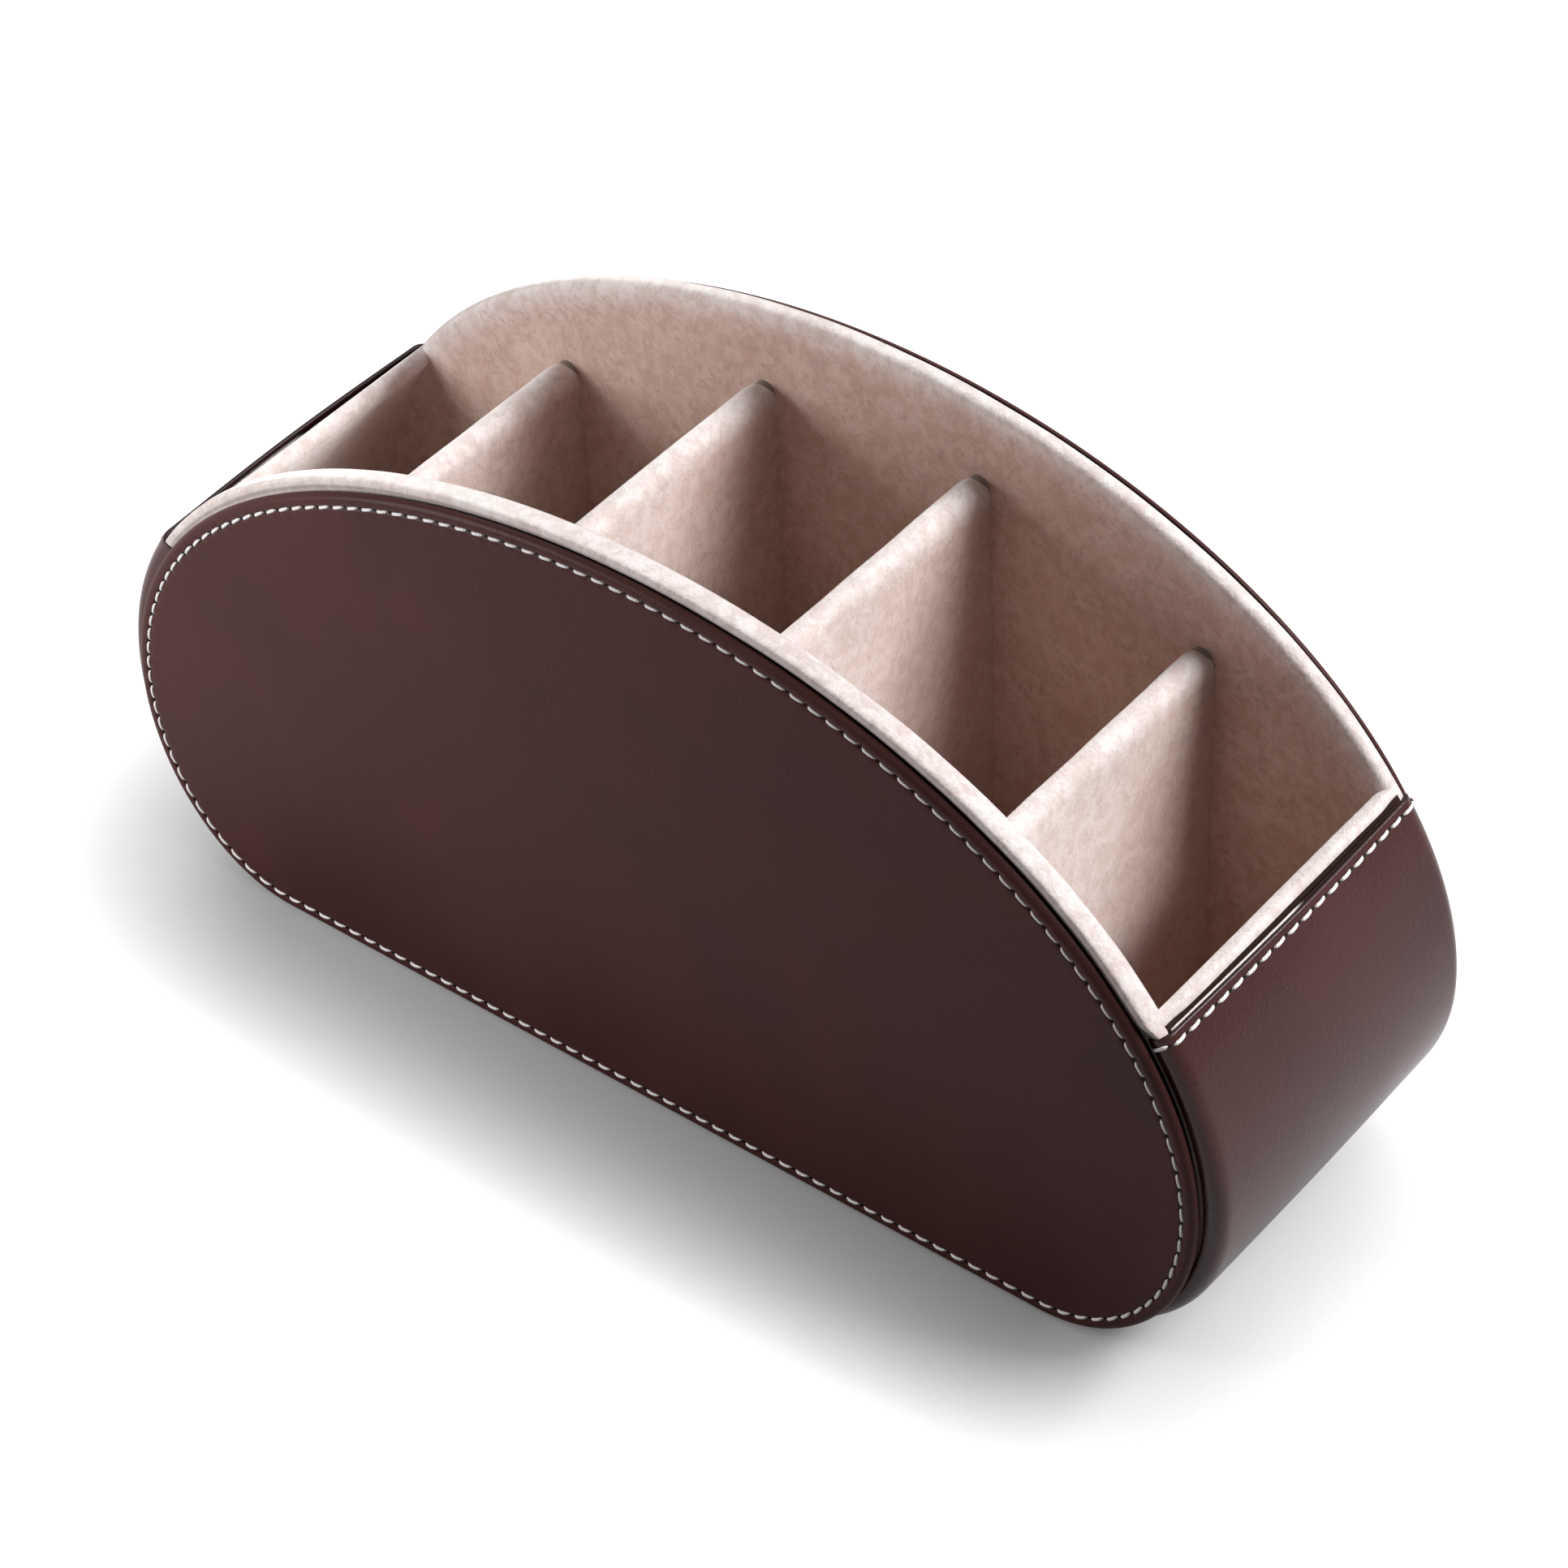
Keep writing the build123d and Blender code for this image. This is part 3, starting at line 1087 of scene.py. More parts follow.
@dataclass(frozen=True)
class TrayWall:
    """Suede-wrapped front or rear wall of the tray, with a rounded dome rim."""

    plan: Plan
    side: Side
    columns: int = 720  # columns of the mesh round the outline
    steps: int = 23  # even rings over the rim
    uneven: float = 0.12  # height of the cover's unevenness
    uneven_size: float = 62.0  # longest wavelength of it
    # angle over the rim at which the suede's turned edge is tucked under and gap shade painted, in
    # degrees
    seam_turn: float = 179.9
    seam_width: float = 1.5  # half width of the glued groove, in degrees
    seam_depth: float = 0.05  # depth of it
    overhang: float = 1.2  # how far the rim swells out over the panel's edge, above the end rims
    square: float = 0.38  # power of the outer half of the rim; the smaller, the squarer
    domed: float = 0.86  # power of its inner half
    # how far down the outer face the overhang is tucked in, as a share of the way
    tuck: float = 0.012

    def suede(self, material: Material) -> None:
        """Builds the wall as rings: inner face, flat-topped rim, outer face.

        At an angle t from the inner face, a point of the rim lies r (1 - sin^p t) inside the
        outline and r cos^p t off the middle, where p is domed on the inner half and square on
        the outer one, which also swells out by the overhang. Where the suede's turned edge is
        tucked under, r is less by a narrow bell of the angle, and half that bell masks the shade
        painted in the gap beside the panel.

        Args:
            material: Suede of the tray.
        """
        outline, radius = self.plan.tray, self.plan.wall / 2.0
        station = outline.spaced(0.0, 4.0, self.columns)[:-1]
        crowded = self.seam_turn + np.array([-5.0, -3.0, -2.0, -1.0])
        even = np.linspace(0.0, 180.0, self.steps)
        turn = np.radians(np.sort(np.concatenate([even, crowded])))
        bell = np.exp(-(((np.degrees(turn) - self.seam_turn) / self.seam_width) ** 2))
        outer = turn > np.pi / 2.0
        power = np.where(outer, self.square, self.domed)
        sunk = radius - self.seam_depth * bell
        rise = sunk * np.clip(np.sin(turn), 0.0, 1.0) ** power
        rim = outline.points(station[None], (radius - rise)[:, None])
        rim_y = sunk * np.sign(np.cos(turn)) * np.abs(np.cos(turn)) ** power
        shrink = np.concatenate([np.linspace(0.05, 0.93, 20), [0.945, 0.96, 0.975, 0.988]])
        middle = np.array([0.0, outline.waist])
        face = middle + shrink[:, None, None] * (rim[0][None] - middle)
        back = middle + shrink[::-1, None, None] * (rim[-1][None] - middle)
        points = np.concatenate([face, rim, back])
        flat, none = np.full(len(shrink), radius), np.zeros(len(shrink))
        level = np.concatenate([flat, rim_y, -flat])
        lean = np.where(outer, np.abs(rim_y) / radius, 0.0)
        tucked = np.exp(-(((1.0 - shrink[::-1]) / self.tuck) ** 2))
        swollen = self._swollen(points, np.concatenate([none, lean, tucked]))
        sign = self.side.value
        centre = sign * (self.plan.clear_y + radius)
        grid = lifted(points, -sign * (level[:, None] - swollen) + centre)
        grid[..., 1] += self.uneven * swell(grid, self.uneven_size, seed=1.3 + sign)
        # Half-strength painted shade at the rim's foot, where the gap to the panel's edge lies.
        seam = np.concatenate([none, 0.5 * bell, none])
        sheet = Sheet(grid, closed=True, marks=self._marks(points, seam, turn, shrink))
        piece = Piece(f"{self.side.word}_wall_cover", f"{self.side.word}_wall_suede", "suede")
        piece.cover(sheet.flipped() if self.side is Side.FRONT else sheet, material)

    def _swollen(self, points: Array, share: Array) -> Array:
        """How far each point swells out over the panel.

        Above the end rims it is the overhang times a factor that climbs from 0.3 at 95 left of
        the middle to 1 at 10 left of it. It fades out over 2.5 just where the end rims are.

        Args:
            points: Points (x, z) of every ring.
            share: Share of the overhang that each ring takes.

        Returns:
            A distance for each point.
        """
        bare = (points[..., 1] - self.plan.tray.waist - self.plan.rim_rise + 0.5) / 2.5
        right = np.clip((points[..., 0] + 95.0) / 85.0, 0.0, 1.0)
        out = self.overhang * (0.3 + 0.7 * right**2 * (3.0 - 2.0 * right))
        return out * share[:, None] * np.clip(bare, 0.0, 1.0)

    def _marks(self, points: Array, seam: Array, turn: Array, shrink: Array) -> Array:
        """Masks of painted gap shade and of paleness, with the first column again at the end.

        Over the rim the paleness is 0.85 + 0.15 sin t, less 0.12 |cos t| on the outer half, which
        paints a highlight on the top where light falls over the paleness from use. On the faces it
        falls to nothing over 0.07 of the way to the middle, and it grows over the first 12 above
        the waist.

        Args:
            points: Points (x, z) of every ring.
            seam: Painted gap shade of every ring.
            turn: Angles over the rim.
            shrink: Shares of the way from the middle, for the rings of a face.

        Returns:
            Rings by columns by (gap shade, paleness).
        """
        outer = turn > np.pi / 2.0
        faded = 0.85 * np.clip((shrink - 0.93) / 0.07, 0.0, 1.0) ** 2
        # Paleness from use, painted paler on top of the rim where light falls, less on its outer
        # side.
        worn_and_lit = 0.85 + 0.15 * np.sin(turn) - np.where(outer, 0.12 * np.abs(np.cos(turn)), 0.0)
        rub_and_light = np.concatenate([faded, worn_and_lit, faded[::-1]])
        above = np.clip((points[..., 1] - self.plan.tray.waist) / 12.0, 0.0, 1.0)
        gap_shade = np.broadcast_to(seam[:, None], above.shape)
        marks = np.stack([gap_shade, rub_and_light[:, None] * above], axis=-1)
        return np.concatenate([marks, marks[:, :1]], axis=1)


@dataclass(frozen=True)
class BentWall:
    """Suede over the bent board: both end walls with their rims, and the floor."""

    plan: Plan
    stretch: int = 240  # even columns of each run between the rims
    rows: int = 40  # rows from front to rear
    reach: float = 1.7  # how far the cut faces reach into the front and rear walls
    overhang: float = 1.0  # how far the right rim swells out over the gap inside the band's hem
    tuck: float = 0.4  # distance below a rim over which the overhang is tucked back in
    fade_from: float = 2.0  # distance from a wall at which half the overhang is left
    fade_over: float = 1.6  # how gently it fades there
    square: float = 0.6  # power of the outer half of a rim; the smaller, the squarer
    uneven: float = 0.1  # height of the cover's unevenness
    uneven_size: float = 47.0  # longest wavelength of it
    rim_points: int = 9  # points over a rim, between the faces
    beyond: float = 9.0  # distance from a rim at which the even columns start
    # distances from a rim at which columns are crowded
    near: tuple[float, ...] = (0.0, 0.15, 0.3, 0.6, 1.0, 1.6, 2.4, 3.4, 4.8, 6.6)

    def suede(self, material: Material) -> None:
        """Builds the bent wall as a closed loop in front view, carried from front to rear.

        The loop follows the outer outline from the right end to the left, a half circle over
        the left rim, the inner outline back, and a half circle over the right rim. The overhang
        fades near the front and rear walls as half of 1 - tanh((|y| - clear_y + from) / over).
        The cover swells unevenly to the sides, and 0.4 of that upwards.

        Args:
            material: Suede of the tray.
        """
        plan = self.plan
        outer, inner = self._run(0.0), self._run(plan.wrap)
        left, left_out = self._round(outer[-1], inner[-1])
        right, right_out = self._round(outer[0], inner[0])
        loop = np.concatenate([outer, left, inner[::-1], right[::-1]])
        even = np.full(self.stretch, self.beyond)
        from_rim = np.concatenate([self.near, even, self.near[::-1]])
        tucked = np.exp(-((from_rim[:, None] / self.tuck) ** 2))
        outward = tucked * np.where(outer[:, :1] > 0.0, right_out[:1], left_out[:1])
        out = np.concatenate([outward, left_out[1:], np.zeros_like(inner), right_out[:0:-1]])
        out = out * np.clip(loop[:, :1], 0.0, 1.0)
        turn = np.linspace(-0.5 * np.pi, 0.5 * np.pi, self.rows)
        y = (plan.clear_y + self.reach) * np.sin(turn)
        into = (np.abs(y) - plan.clear_y + self.fade_from) / self.fade_over
        fade = (0.5 - 0.5 * np.tanh(into))[:, None, None]
        grid = lifted(loop + fade * out, y[:, None])
        soft = self.uneven * swell(grid, self.uneven_size, seed=0.4)
        grid[..., 0] += soft
        grid[..., 2] += 0.4 * soft
        builder = MeshBuilder()
        builder.add(Sheet(grid, closed=True, marks=self._marks(from_rim, len(loop))))
        self._close(builder, grid)
        Piece("bent_wall_cover", "wrap_suede", "suede").place(builder, material)

    def _marks(self, from_rim: Array, columns: int) -> Array:
        """Masks of painted gap shade and of paleness, the same in every row.

        Near-black shade painted on the outer face, for the gap inside the band's hem, grows over
        the first 0.3 below a rim and fades from 6 to 8 below it. Paleness, from use and as a
        painted highlight where light falls on the rims, is full over the rims and falls away from
        them as 0.85 exp(-(d / 2.5)^2).

        Args:
            from_rim: Distance of each column of a run from the nearer rim.
            columns: Columns of the whole loop.

        Returns:
            Rows by columns by (gap shade, paleness), with the first column again at the end.
        """
        over = np.ones(self.rim_points)
        # Rims pale from use, with a painted highlight where light falls on them.
        worn_and_lit = 0.85 * np.exp(-((from_rim / 2.5) ** 2))
        rub_and_light = np.concatenate([worn_and_lit, over, worn_and_lit[::-1], over])
        # Near-black painted shade on the outer face, in the gap inside the band's hem.
        gap_shade = np.clip(from_rim / 0.3, 0.0, 1.0) * np.clip((8.0 - from_rim) / 2.0, 0.0, 1.0)
        marks = np.zeros((self.rows, columns + 1, 2))
        marks[:, : len(gap_shade), 0] = gap_shade
        marks[..., 1] = np.append(rub_and_light, rub_and_light[0])
        return marks

    def _run(self, depth: float) -> Array:
        """Points from the right rim round the floor to the left rim.

        Args:
            depth: Depth inside the tray's outer face.

        Returns:
            Points (x, z).
        """
        tray, near = self.plan.tray, np.array(self.near)
        station = self.plan.end_station(depth, 0.0)
        total = tray.length(station, -3.0 - station, depth)
        even = np.linspace(self.beyond, total - self.beyond, self.stretch)
        lengths = np.concatenate([near, even, total - near[::-1]])
        return tray.points(tray.spaced(station, -3.0 - station, lengths, depth), depth)

    def _round(self, outer: Array, inner: Array) -> tuple[Array, Array]:
        """Rounded rim from the outer face to the inner one, without its ends.

        With m the middle, h half the way out and q its quarter turn upwards, a point is
        m + h cos^p t + q sin^p t, where p is square on the outer half and 1 on the inner one.

        Args:
            outer: Top of the outer face.
            inner: Top of the inner face.

        Returns:
            The points, and the way that the overhang moves the outer face's top and each of them.
        """
        angle = np.linspace(0.0, np.pi, self.rim_points + 2)[1:-1, None]
        half = (outer - inner) / 2.0
        bulge = np.array([-half[1], half[0]]) * np.sign(half[0])
        cosine, sine = np.cos(angle), np.sin(angle)
        power = np.where(cosine > 0.0, self.square, 1.0)
        points = (outer + inner) / 2.0 + half * np.sign(cosine) * np.abs(cosine) ** power
        points = points + bulge * sine**power
        share = np.concatenate([[[1.0]], np.clip(cosine, 0.0, 1.0) ** 0.5])
        return points, self.overhang * share * half / np.hypot(*half)

    def _close(self, builder: MeshBuilder, grid: Array) -> None:
        """Closes the two cut faces between the outer and the inner run.

        Args:
            builder: Where the faces go.
            grid: Points of the loop, row by row.
        """
        count = self.stretch + 2 * len(self.near)
        back = count + self.rim_points
        outer, inner = grid[:, :count], grid[:, back : back + count][:, ::-1]
        builder.add(Sheet(np.stack([inner[0], outer[0]])))
        builder.add(Sheet(np.stack([outer[-1], inner[-1]])))


@dataclass(frozen=True)
class Divider:
    """Suede-wrapped divider with a full-round crown that dips where it meets the walls."""

    plan: Plan
    number: int  # number of the divider, from the left
    dip: float = 2.0  # how far the crown falls at a wall
    dip_reach: float = 4.6  # distance from the wall over which it falls
    sunk: float = 0.2  # how far the foot reaches into the floor
    rows: int = 44  # rows from front to rear
    climb: int = 29  # points up each face
    crown: int = 15  # points over the crown
    bulge: float = 0.2  # how unevenly the faces swell
    bulge_size: float = 55.0  # longest wavelength of that

    def suede(self, material: Material) -> None:
        """Builds the divider as a tall arch in end view, carried from front to rear.

        The crown falls by dip (1 - sqrt(1 - w^2)), where w grows from 0 to 1 over the last
        stretch before each wall. The faces bulge less and less towards the walls, as a cosine.

        Args:
            material: Suede of the tray.
        """
        low, high = solid_box(f"divider_suede_{self.number}")
        clear = self.plan.clear_y
        centre, radius = (low[0] + high[0]) / 2.0, (high[0] - low[0]) / 2.0
        turn = np.linspace(0.0, np.pi, self.crown)
        climb = np.linspace(0.0, 1.0, self.climb + 1)[:-1]
        side, none = np.full(self.climb, radius), np.zeros(self.climb)
        arch_x = np.concatenate([side, radius * np.cos(turn), -side])
        share = np.concatenate([climb, np.ones(self.crown), climb[::-1]])
        arch = np.concatenate([none, radius * np.sin(turn), none])
        y = clear * np.sin(np.linspace(-np.pi / 2.0, np.pi / 2.0, self.rows))
        w = np.clip((np.abs(y) - clear + self.dip_reach) / self.dip_reach, 0.0, 1.0)
        crown = high[2] - radius - self.dip * (1.0 - np.sqrt(1.0 - w**2))
        floor = low[2] - self.sunk
        z = floor + share[None] * (crown - floor)[:, None] + arch[None]
        grid = np.stack(np.broadcast_arrays(centre + arch_x[None], y[:, None], z), axis=-1)
        wave = swell(grid, self.bulge_size, seed=2.0 * self.number)
        grid[..., 0] += self.bulge * (wave * np.cos(np.pi * y / (2.0 * clear))[:, None])
        sheet = Sheet(grid, marks=self._marks(climb, turn, y))
        piece = Piece(f"divider_cover_{self.number}", f"divider_suede_{self.number}", "suede")
        piece.cover(sheet.flipped(), material)

    def _marks(self, climb: Array, turn: Array, y: Array) -> Array:
        """Masks with paleness only, partly from use and partly painted light.

        The crown's paleness is 0.8 + 0.2 sin t. A face is paled as 0.8 c + 0.1 c^16 with its
        height share c, but only in front: half of 1 - tanh((y / clear_y - 0.1) / 0.45) is left of
        it. So the faces carry painted light in front and painted shade towards the rear wall,
        whose shadow falls there, mixed with paleness from use.

        Args:
            climb: Height shares of the points up a face.
            turn: Angles over the crown.
            y: Place of each row.

        Returns:
            Rows by columns by (0, paleness).
        """
        none = np.zeros(self.climb)
        worn_and_lit = 0.8 * climb + 0.1 * climb**16
        worn_and_lit = np.concatenate([worn_and_lit, np.zeros(self.crown), worn_and_lit[::-1]])
        crest = np.concatenate([none, 0.8 + 0.2 * np.sin(turn), none])
        # Painted light on the front of the faces, fading to painted shade by the rear wall, with
        # paleness from use.
        front_worn_and_lit = 0.5 - 0.5 * np.tanh((y / self.plan.clear_y - 0.1) / 0.45)
        wear_and_light = crest[None] + worn_and_lit[None] * front_worn_and_lit[:, None]
        return np.stack([np.zeros_like(wear_and_light), wear_and_light], axis=-1)


@dataclass(frozen=True)
class Band:
    """Leather band that hugs the tray from hem to hem, with shoulders tucked in at its sides."""

    plan: Plan
    leather: float = 0.9  # thickness of the leather
    lining: float = 0.4  # thickness of the strip inside it
    hem_drop: float = 1.3  # hem edge below the middle of the end rim, along the wall
    # how far the band stands off the tray midway between the panels, at the hems
    bow: float = 0.75
    bow_reach: float = 14.0  # distance from a hem over which most of the bow fades
    shoulder_y: float = 2.6  # width of a shoulder
    shoulder_in: float = 1.85  # how far a shoulder falls towards the tray
    flange: float = 1.3  # length of the side turned in below a shoulder
    hem_seam: float = 1.7  # distance of the stitches from the hem's edge
    hem_pitch: float = 4.0  # length of a stitch
    hem_stitch: Stitching = Stitching(length=3.2, radius=0.37, slant=0.1)
    left_lift: float = -0.08  # how far the left hem's thread rises, which is into the leather
    # how far the pale strip is lifted, and how much it shows above the right hem
    strip_rise: float = 0.16
    strip_gap: float = 2.4  # how far it stays below the left hem
    flat_points: int = 26  # points from the middle to a shoulder
    turn_points: int = 9  # points round a shoulder
    flange_points: int = 4  # points down a flange
    measured: float = -1.0  # depth at which lengths along the band are measured
    even: int = 330  # even columns between the hems
    beyond: float = 8.0  # distance from a hem at which they start
    # distances from a hem at which columns are crowded
    near: tuple[float, ...] = (
        0.0, 0.03, 0.09, 0.18, 0.3, 0.45, 0.8, 1.2, 1.6, 1.9, 2.1, 2.3, 2.5, 2.8, 3.3, 4.2, 6.0
    )  # fmt: skip

    def _section(self, rest: float, turned: bool) -> tuple[Array, Array]:
        """Middle line of the band's section from front to rear.

        It is flat between its shoulders. Each shoulder is a quarter ellipse, and a flange
        then runs straight in along the face of the tray wall.

        Args:
            rest: Height of the middle line off the tray.
            turned: Whether the shoulders and flanges are there.

        Returns:
            Places along Y and heights off the tray, in order.
        """
        edge = self.plan.wall_y
        start = edge - self.shoulder_y
        half_y = np.linspace(0.0, start, self.flat_points)
        half_rest = np.full(self.flat_points, rest)
        if turned:
            angle = np.linspace(0.0, np.pi / 2.0, self.turn_points + 1)[1:]
            turn_y = start + self.shoulder_y * np.sin(angle)
            turn_rest = rest - self.shoulder_in * (1.0 - np.cos(angle))
            fall = turn_rest[-1] - np.linspace(0.0, self.flange, self.flange_points + 1)[1:]
            half_y = np.concatenate([half_y, turn_y, np.full(self.flange_points, edge)])
            half_rest = np.concatenate([half_rest, turn_rest, fall])
        whole_rest = np.concatenate([half_rest[:0:-1], half_rest])
        return np.concatenate([-half_y[:0:-1], half_y]), whole_rest

    @staticmethod
    def _offset(y: Array, rest: Array, by: float) -> tuple[Array, Array]:
        """Line moved sideways, towards the outside of the band.

        Args:
            y: Places along Y.
            rest: Heights off the tray.
            by: Distance to move.

        Returns:
            The moved places and heights.
        """
        slope_y, slope_rest = np.gradient(y), np.gradient(rest)
        size = np.hypot(slope_y, slope_rest)
        return y - by * slope_rest / size, rest + by * slope_y / size

    def _path(self, drop: float, far_drop: float) -> tuple[Array, Array]:
        """Stations from the right hem to the left one, crowded at the hems.

        Args:
            drop: Right hem's edge below the middle of the end rim.
            far_drop: Left hem's edge below it.

        Returns:
            The stations, and the distance of each from the nearer hem.
        """
        plan, near = self.plan, np.array(self.near)
        depth = -self.lining - self.leather / 2.0
        start, stop = plan.end_station(depth, -drop), -3.0 - plan.end_station(depth, -far_drop)
        total = plan.tray.length(start, stop, self.measured)
        even = np.linspace(self.beyond, total - self.beyond, self.even)
        lengths = np.concatenate([near, even, total - near[::-1]])
        station = plan.tray.spaced(start, stop, lengths, self.measured)
        return station, np.minimum(lengths, total - lengths)

    def _bowed(self, y: Array, from_hem: Array) -> Array:
        """How far the band stands off the tray.

        It is bow cos^1.2 of a quarter turn from the middle to the side, and it fades to 0.3 of
        that away from the hems.

        Args:
            y: Places along Y.
            from_hem: Distances from the nearer hem.

        Returns:
            A distance for each.
        """
        shape = np.cos(0.5 * np.pi * np.clip(y / self.plan.wall_y, -1.0, 1.0)) ** 1.2
        fade = 0.3 + 0.7 * np.exp(-from_hem / self.bow_reach)
        return self.bow * shape * fade

    def _layer(
        self, thickness: float, rest: float, drops: tuple[float, float], turned: bool, bow: float
    ) -> MeshBuilder:
        """One layer of the band, closed all round.

        Its two faces lie half the thickness off the middle line. The thickness falls to
        nothing at a hem as sqrt(1 - (1 - d / r)^2), which rounds the edge.

        Args:
            thickness: Thickness of the layer.
            rest: Height of its middle off the tray.
            drops: Right and left hem's edges below the middle of the end rim.
            turned: Whether its sides turn in over the tray wall.
            bow: Share of the band's bow that the layer takes.

        Returns:
            The gathered mesh.
        """
        station, from_hem = (line[:, None] for line in self._path(*drops))
        edge = thickness / 2.0
        thin = np.sqrt(1.0 - (1.0 - np.minimum(from_hem / edge, 1.0)) ** 2)
        y, mid = self._section(rest, turned)
        bowed = bow * self._bowed(y[None], from_hem)
        faces = []
        for sign in (1.0, -1.0):
            off_y, off_rest = self._offset(y, mid, sign * edge)
            face_y = y[None] + (off_y - y)[None] * thin
            face_rest = mid[None] + (off_rest - mid)[None] * thin + bowed
            faces.append(np.stack([face_y, face_rest], axis=-1)[:, :: int(sign)])
        loop = np.concatenate(faces, axis=1)
        spot = self.plan.tray.points(station, -loop[..., 1])
        run = running(y, mid)
        run = (run - run[-1] / 2.0) / self.hem_pitch
        across = np.concatenate([run, run[::-1], run[:1]])
        marks = np.stack(np.broadcast_arrays(across[None], self.hem_seam - from_hem), axis=-1)
        builder = MeshBuilder()
        builder.add(Sheet(lifted(spot, loop[..., 0]), closed=True, marks=marks))
        return builder

    def cover(self, material: Material) -> None:
        """Builds the leather of the band.

        Args:
            material: Leather.
        """
        rest = self.lining + self.leather / 2.0
        builder = self._layer(self.leather, rest, (self.hem_drop, self.hem_drop), True, 1.0)
        Piece("band_cover", "band_leather", "band_leather").place(builder, material)

    def strip(self, material: Material) -> None:
        """Builds the pale strip: a line inside the right hem, and hidden below the left one.

        It is a fifth thinner than its solid, and takes nine tenths of the band's bow.

        Args:
            material: Lining.
        """
        drops = (self.hem_drop - self.strip_rise, self.hem_drop + self.strip_gap)
        rest = self.lining / 2.0 + self.strip_rise
        builder = self._layer(0.8 * self.lining, rest, drops, False, 0.9)
        Piece("band_backing", "band_lining", "lining").place(builder, material)

    def stitching(self, end: End, material: Material) -> None:
        """Lays the stitches of one hem, the outermost ones bent round the shoulders.

        The left hem has one stitch fewer, and its thread is pulled down into the leather.

        Args:
            end: The end that the hem is at.
            material: Thread.
        """
        tray, edge, pitch = self.plan.tray, self.leather / 2.0, self.hem_pitch
        y, rest = self._offset(*self._section(self.lining + edge, True), edge)
        rest = rest + self._bowed(y, np.array(self.hem_seam))
        run = running(y, rest)
        count = 2 * round((run[-1] - 2.0 * self.flange) / pitch / 2.0)
        spots = run[-1] / 2.0 + (np.arange(count) - (count - 1) / 2.0) * pitch
        spots = spots[1:] if end is End.LEFT else spots
        at_y, at_rest = np.interp(spots, run, y), np.interp(spots, run, rest)
        step, ahead = (
            (np.interp(spots + 0.5, run, line) - np.interp(spots - 0.5, run, line))[:, None]
            for line in (y, rest)
        )
        start = self.plan.end_station(-self.lining - edge, -self.hem_drop)
        station = tray.spaced(start, -3.0 - start, np.array([self.hem_seam]), self.measured)
        spot = tray.points(np.broadcast_to(station, at_rest.shape), -at_rest)
        normal = tray.normals(station, self.measured)[0]
        mirror = np.array([end.value, 1.0])
        origin, outward = lifted(spot * mirror, at_y), lifted(normal * mirror, 0.0)
        rearward = np.array([0.0, 1.0, 0.0])
        along = step * rearward + ahead * outward
        along /= np.linalg.norm(along, axis=1, keepdims=True)
        out = step * outward - ahead * rearward
        out /= np.linalg.norm(out, axis=1, keepdims=True)
        stitch = replace(self.hem_stitch, slant=self.hem_stitch.slant * end.value)
        if end is End.LEFT:
            stitch = replace(stitch, lift=self.left_lift)
        builder = MeshBuilder()
        stitch.lay(builder, origin, along, out)
        piece = Piece(f"{end.word}_hem_thread", f"{end.word}_hem_stitching", "stitching")
        piece.place(builder, material)


@dataclass(frozen=True)
class BasePad:
    """Thin felt pad under the floor, a rounded rectangle with soft edges."""

    corner: float = 7.0  # radius of its corners
    soft: float = 0.45  # radius of its edges
    sides: int = 96  # points round it
    turned: int = 5  # rings round each edge

    def felt(self, material: Material) -> None:
        """Builds the pad as rings of a rounded rectangle with sides and a flat underside.

        Each ring is a circle of the corner's radius pushed out to the four corner centres, and
        its section turns from the top face over the side to the underside in two quarter rounds.

        Args:
            material: Felt.
        """
        low, high = solid_box("base_felt")
        angle = np.linspace(0.0, 2.0 * np.pi, self.sides + 1)[:-1]
        cos, sin = np.cos(angle), np.sin(angle)
        reach = (high - low)[:2] / 2.0 - self.corner
        turn = np.linspace(0.0, np.pi / 2.0, self.turned)
        falling, flattening = self.soft * (1.0 - np.sin(turn)), self.soft * (1.0 - np.cos(turn))
        radius = self.corner - np.concatenate([falling, flattening])[:, None]
        drop = np.concatenate([flattening, high[2] - low[2] - falling])
        x = np.sign(cos) * reach[0] + radius * cos
        y = np.sign(sin) * reach[1] + radius * sin
        grid = np.stack(np.broadcast_arrays(x, y, (high[2] - drop)[:, None]), axis=-1)[::-1]
        Piece("base_pad", "base_felt", "felt").cover(Sheet(grid, closed=True), material)


# ---- studio ----


def stand(data: bpy.types.ID, right: Vector, up: Vector, back: Vector, place: Vector) -> Object:
    """Stands a lamp or the camera in the scene.

    Args:
        data: The lamp or camera.
        right: Direction of its right.
        up: Direction of its top.
        back: Direction straight away from what it faces.
        place: Where it stands.

    Returns:
        The new object.
    """
    obj = show(data.name, data)
    turn = Matrix((right, up, back)).transposed().to_4x4()
    obj.matrix_world = Matrix.Translation(place) @ turn
    return obj


@dataclass(frozen=True)
class SoftLamp:
    """Rectangular soft lamp that faces the caddy, with its long side level."""

    name: str
    place: Place  # where its middle is, in metres
    size: tuple[float, float]  # its length and width
    power: float  # its power in watts
    aim: Place = (0.0, 0.0, 0.06)  # the spot that it faces
    steep: float = 0.7  # upward part of the way to it above which the lamp counts as overhead

    def hang(self) -> None:
        """Adds the lamp to the scene, its back turned straight away from the caddy."""
        lamp = bpy.data.lights.new(self.name, "AREA")
        lamp.shape = "RECTANGLE"
        lamp.size, lamp.size_y = self.size
        lamp.energy = self.power
        back = (Vector(self.place) - Vector(self.aim)).normalized()
        above = (0.0, 0.0, 1.0) if abs(back.z) < self.steep else (0.0, 1.0, 0.0)
        across = Vector(above).cross(back).normalized()
        obj = stand(lamp, across, back.cross(across), back, Vector(self.place))
        obj.visible_camera = False


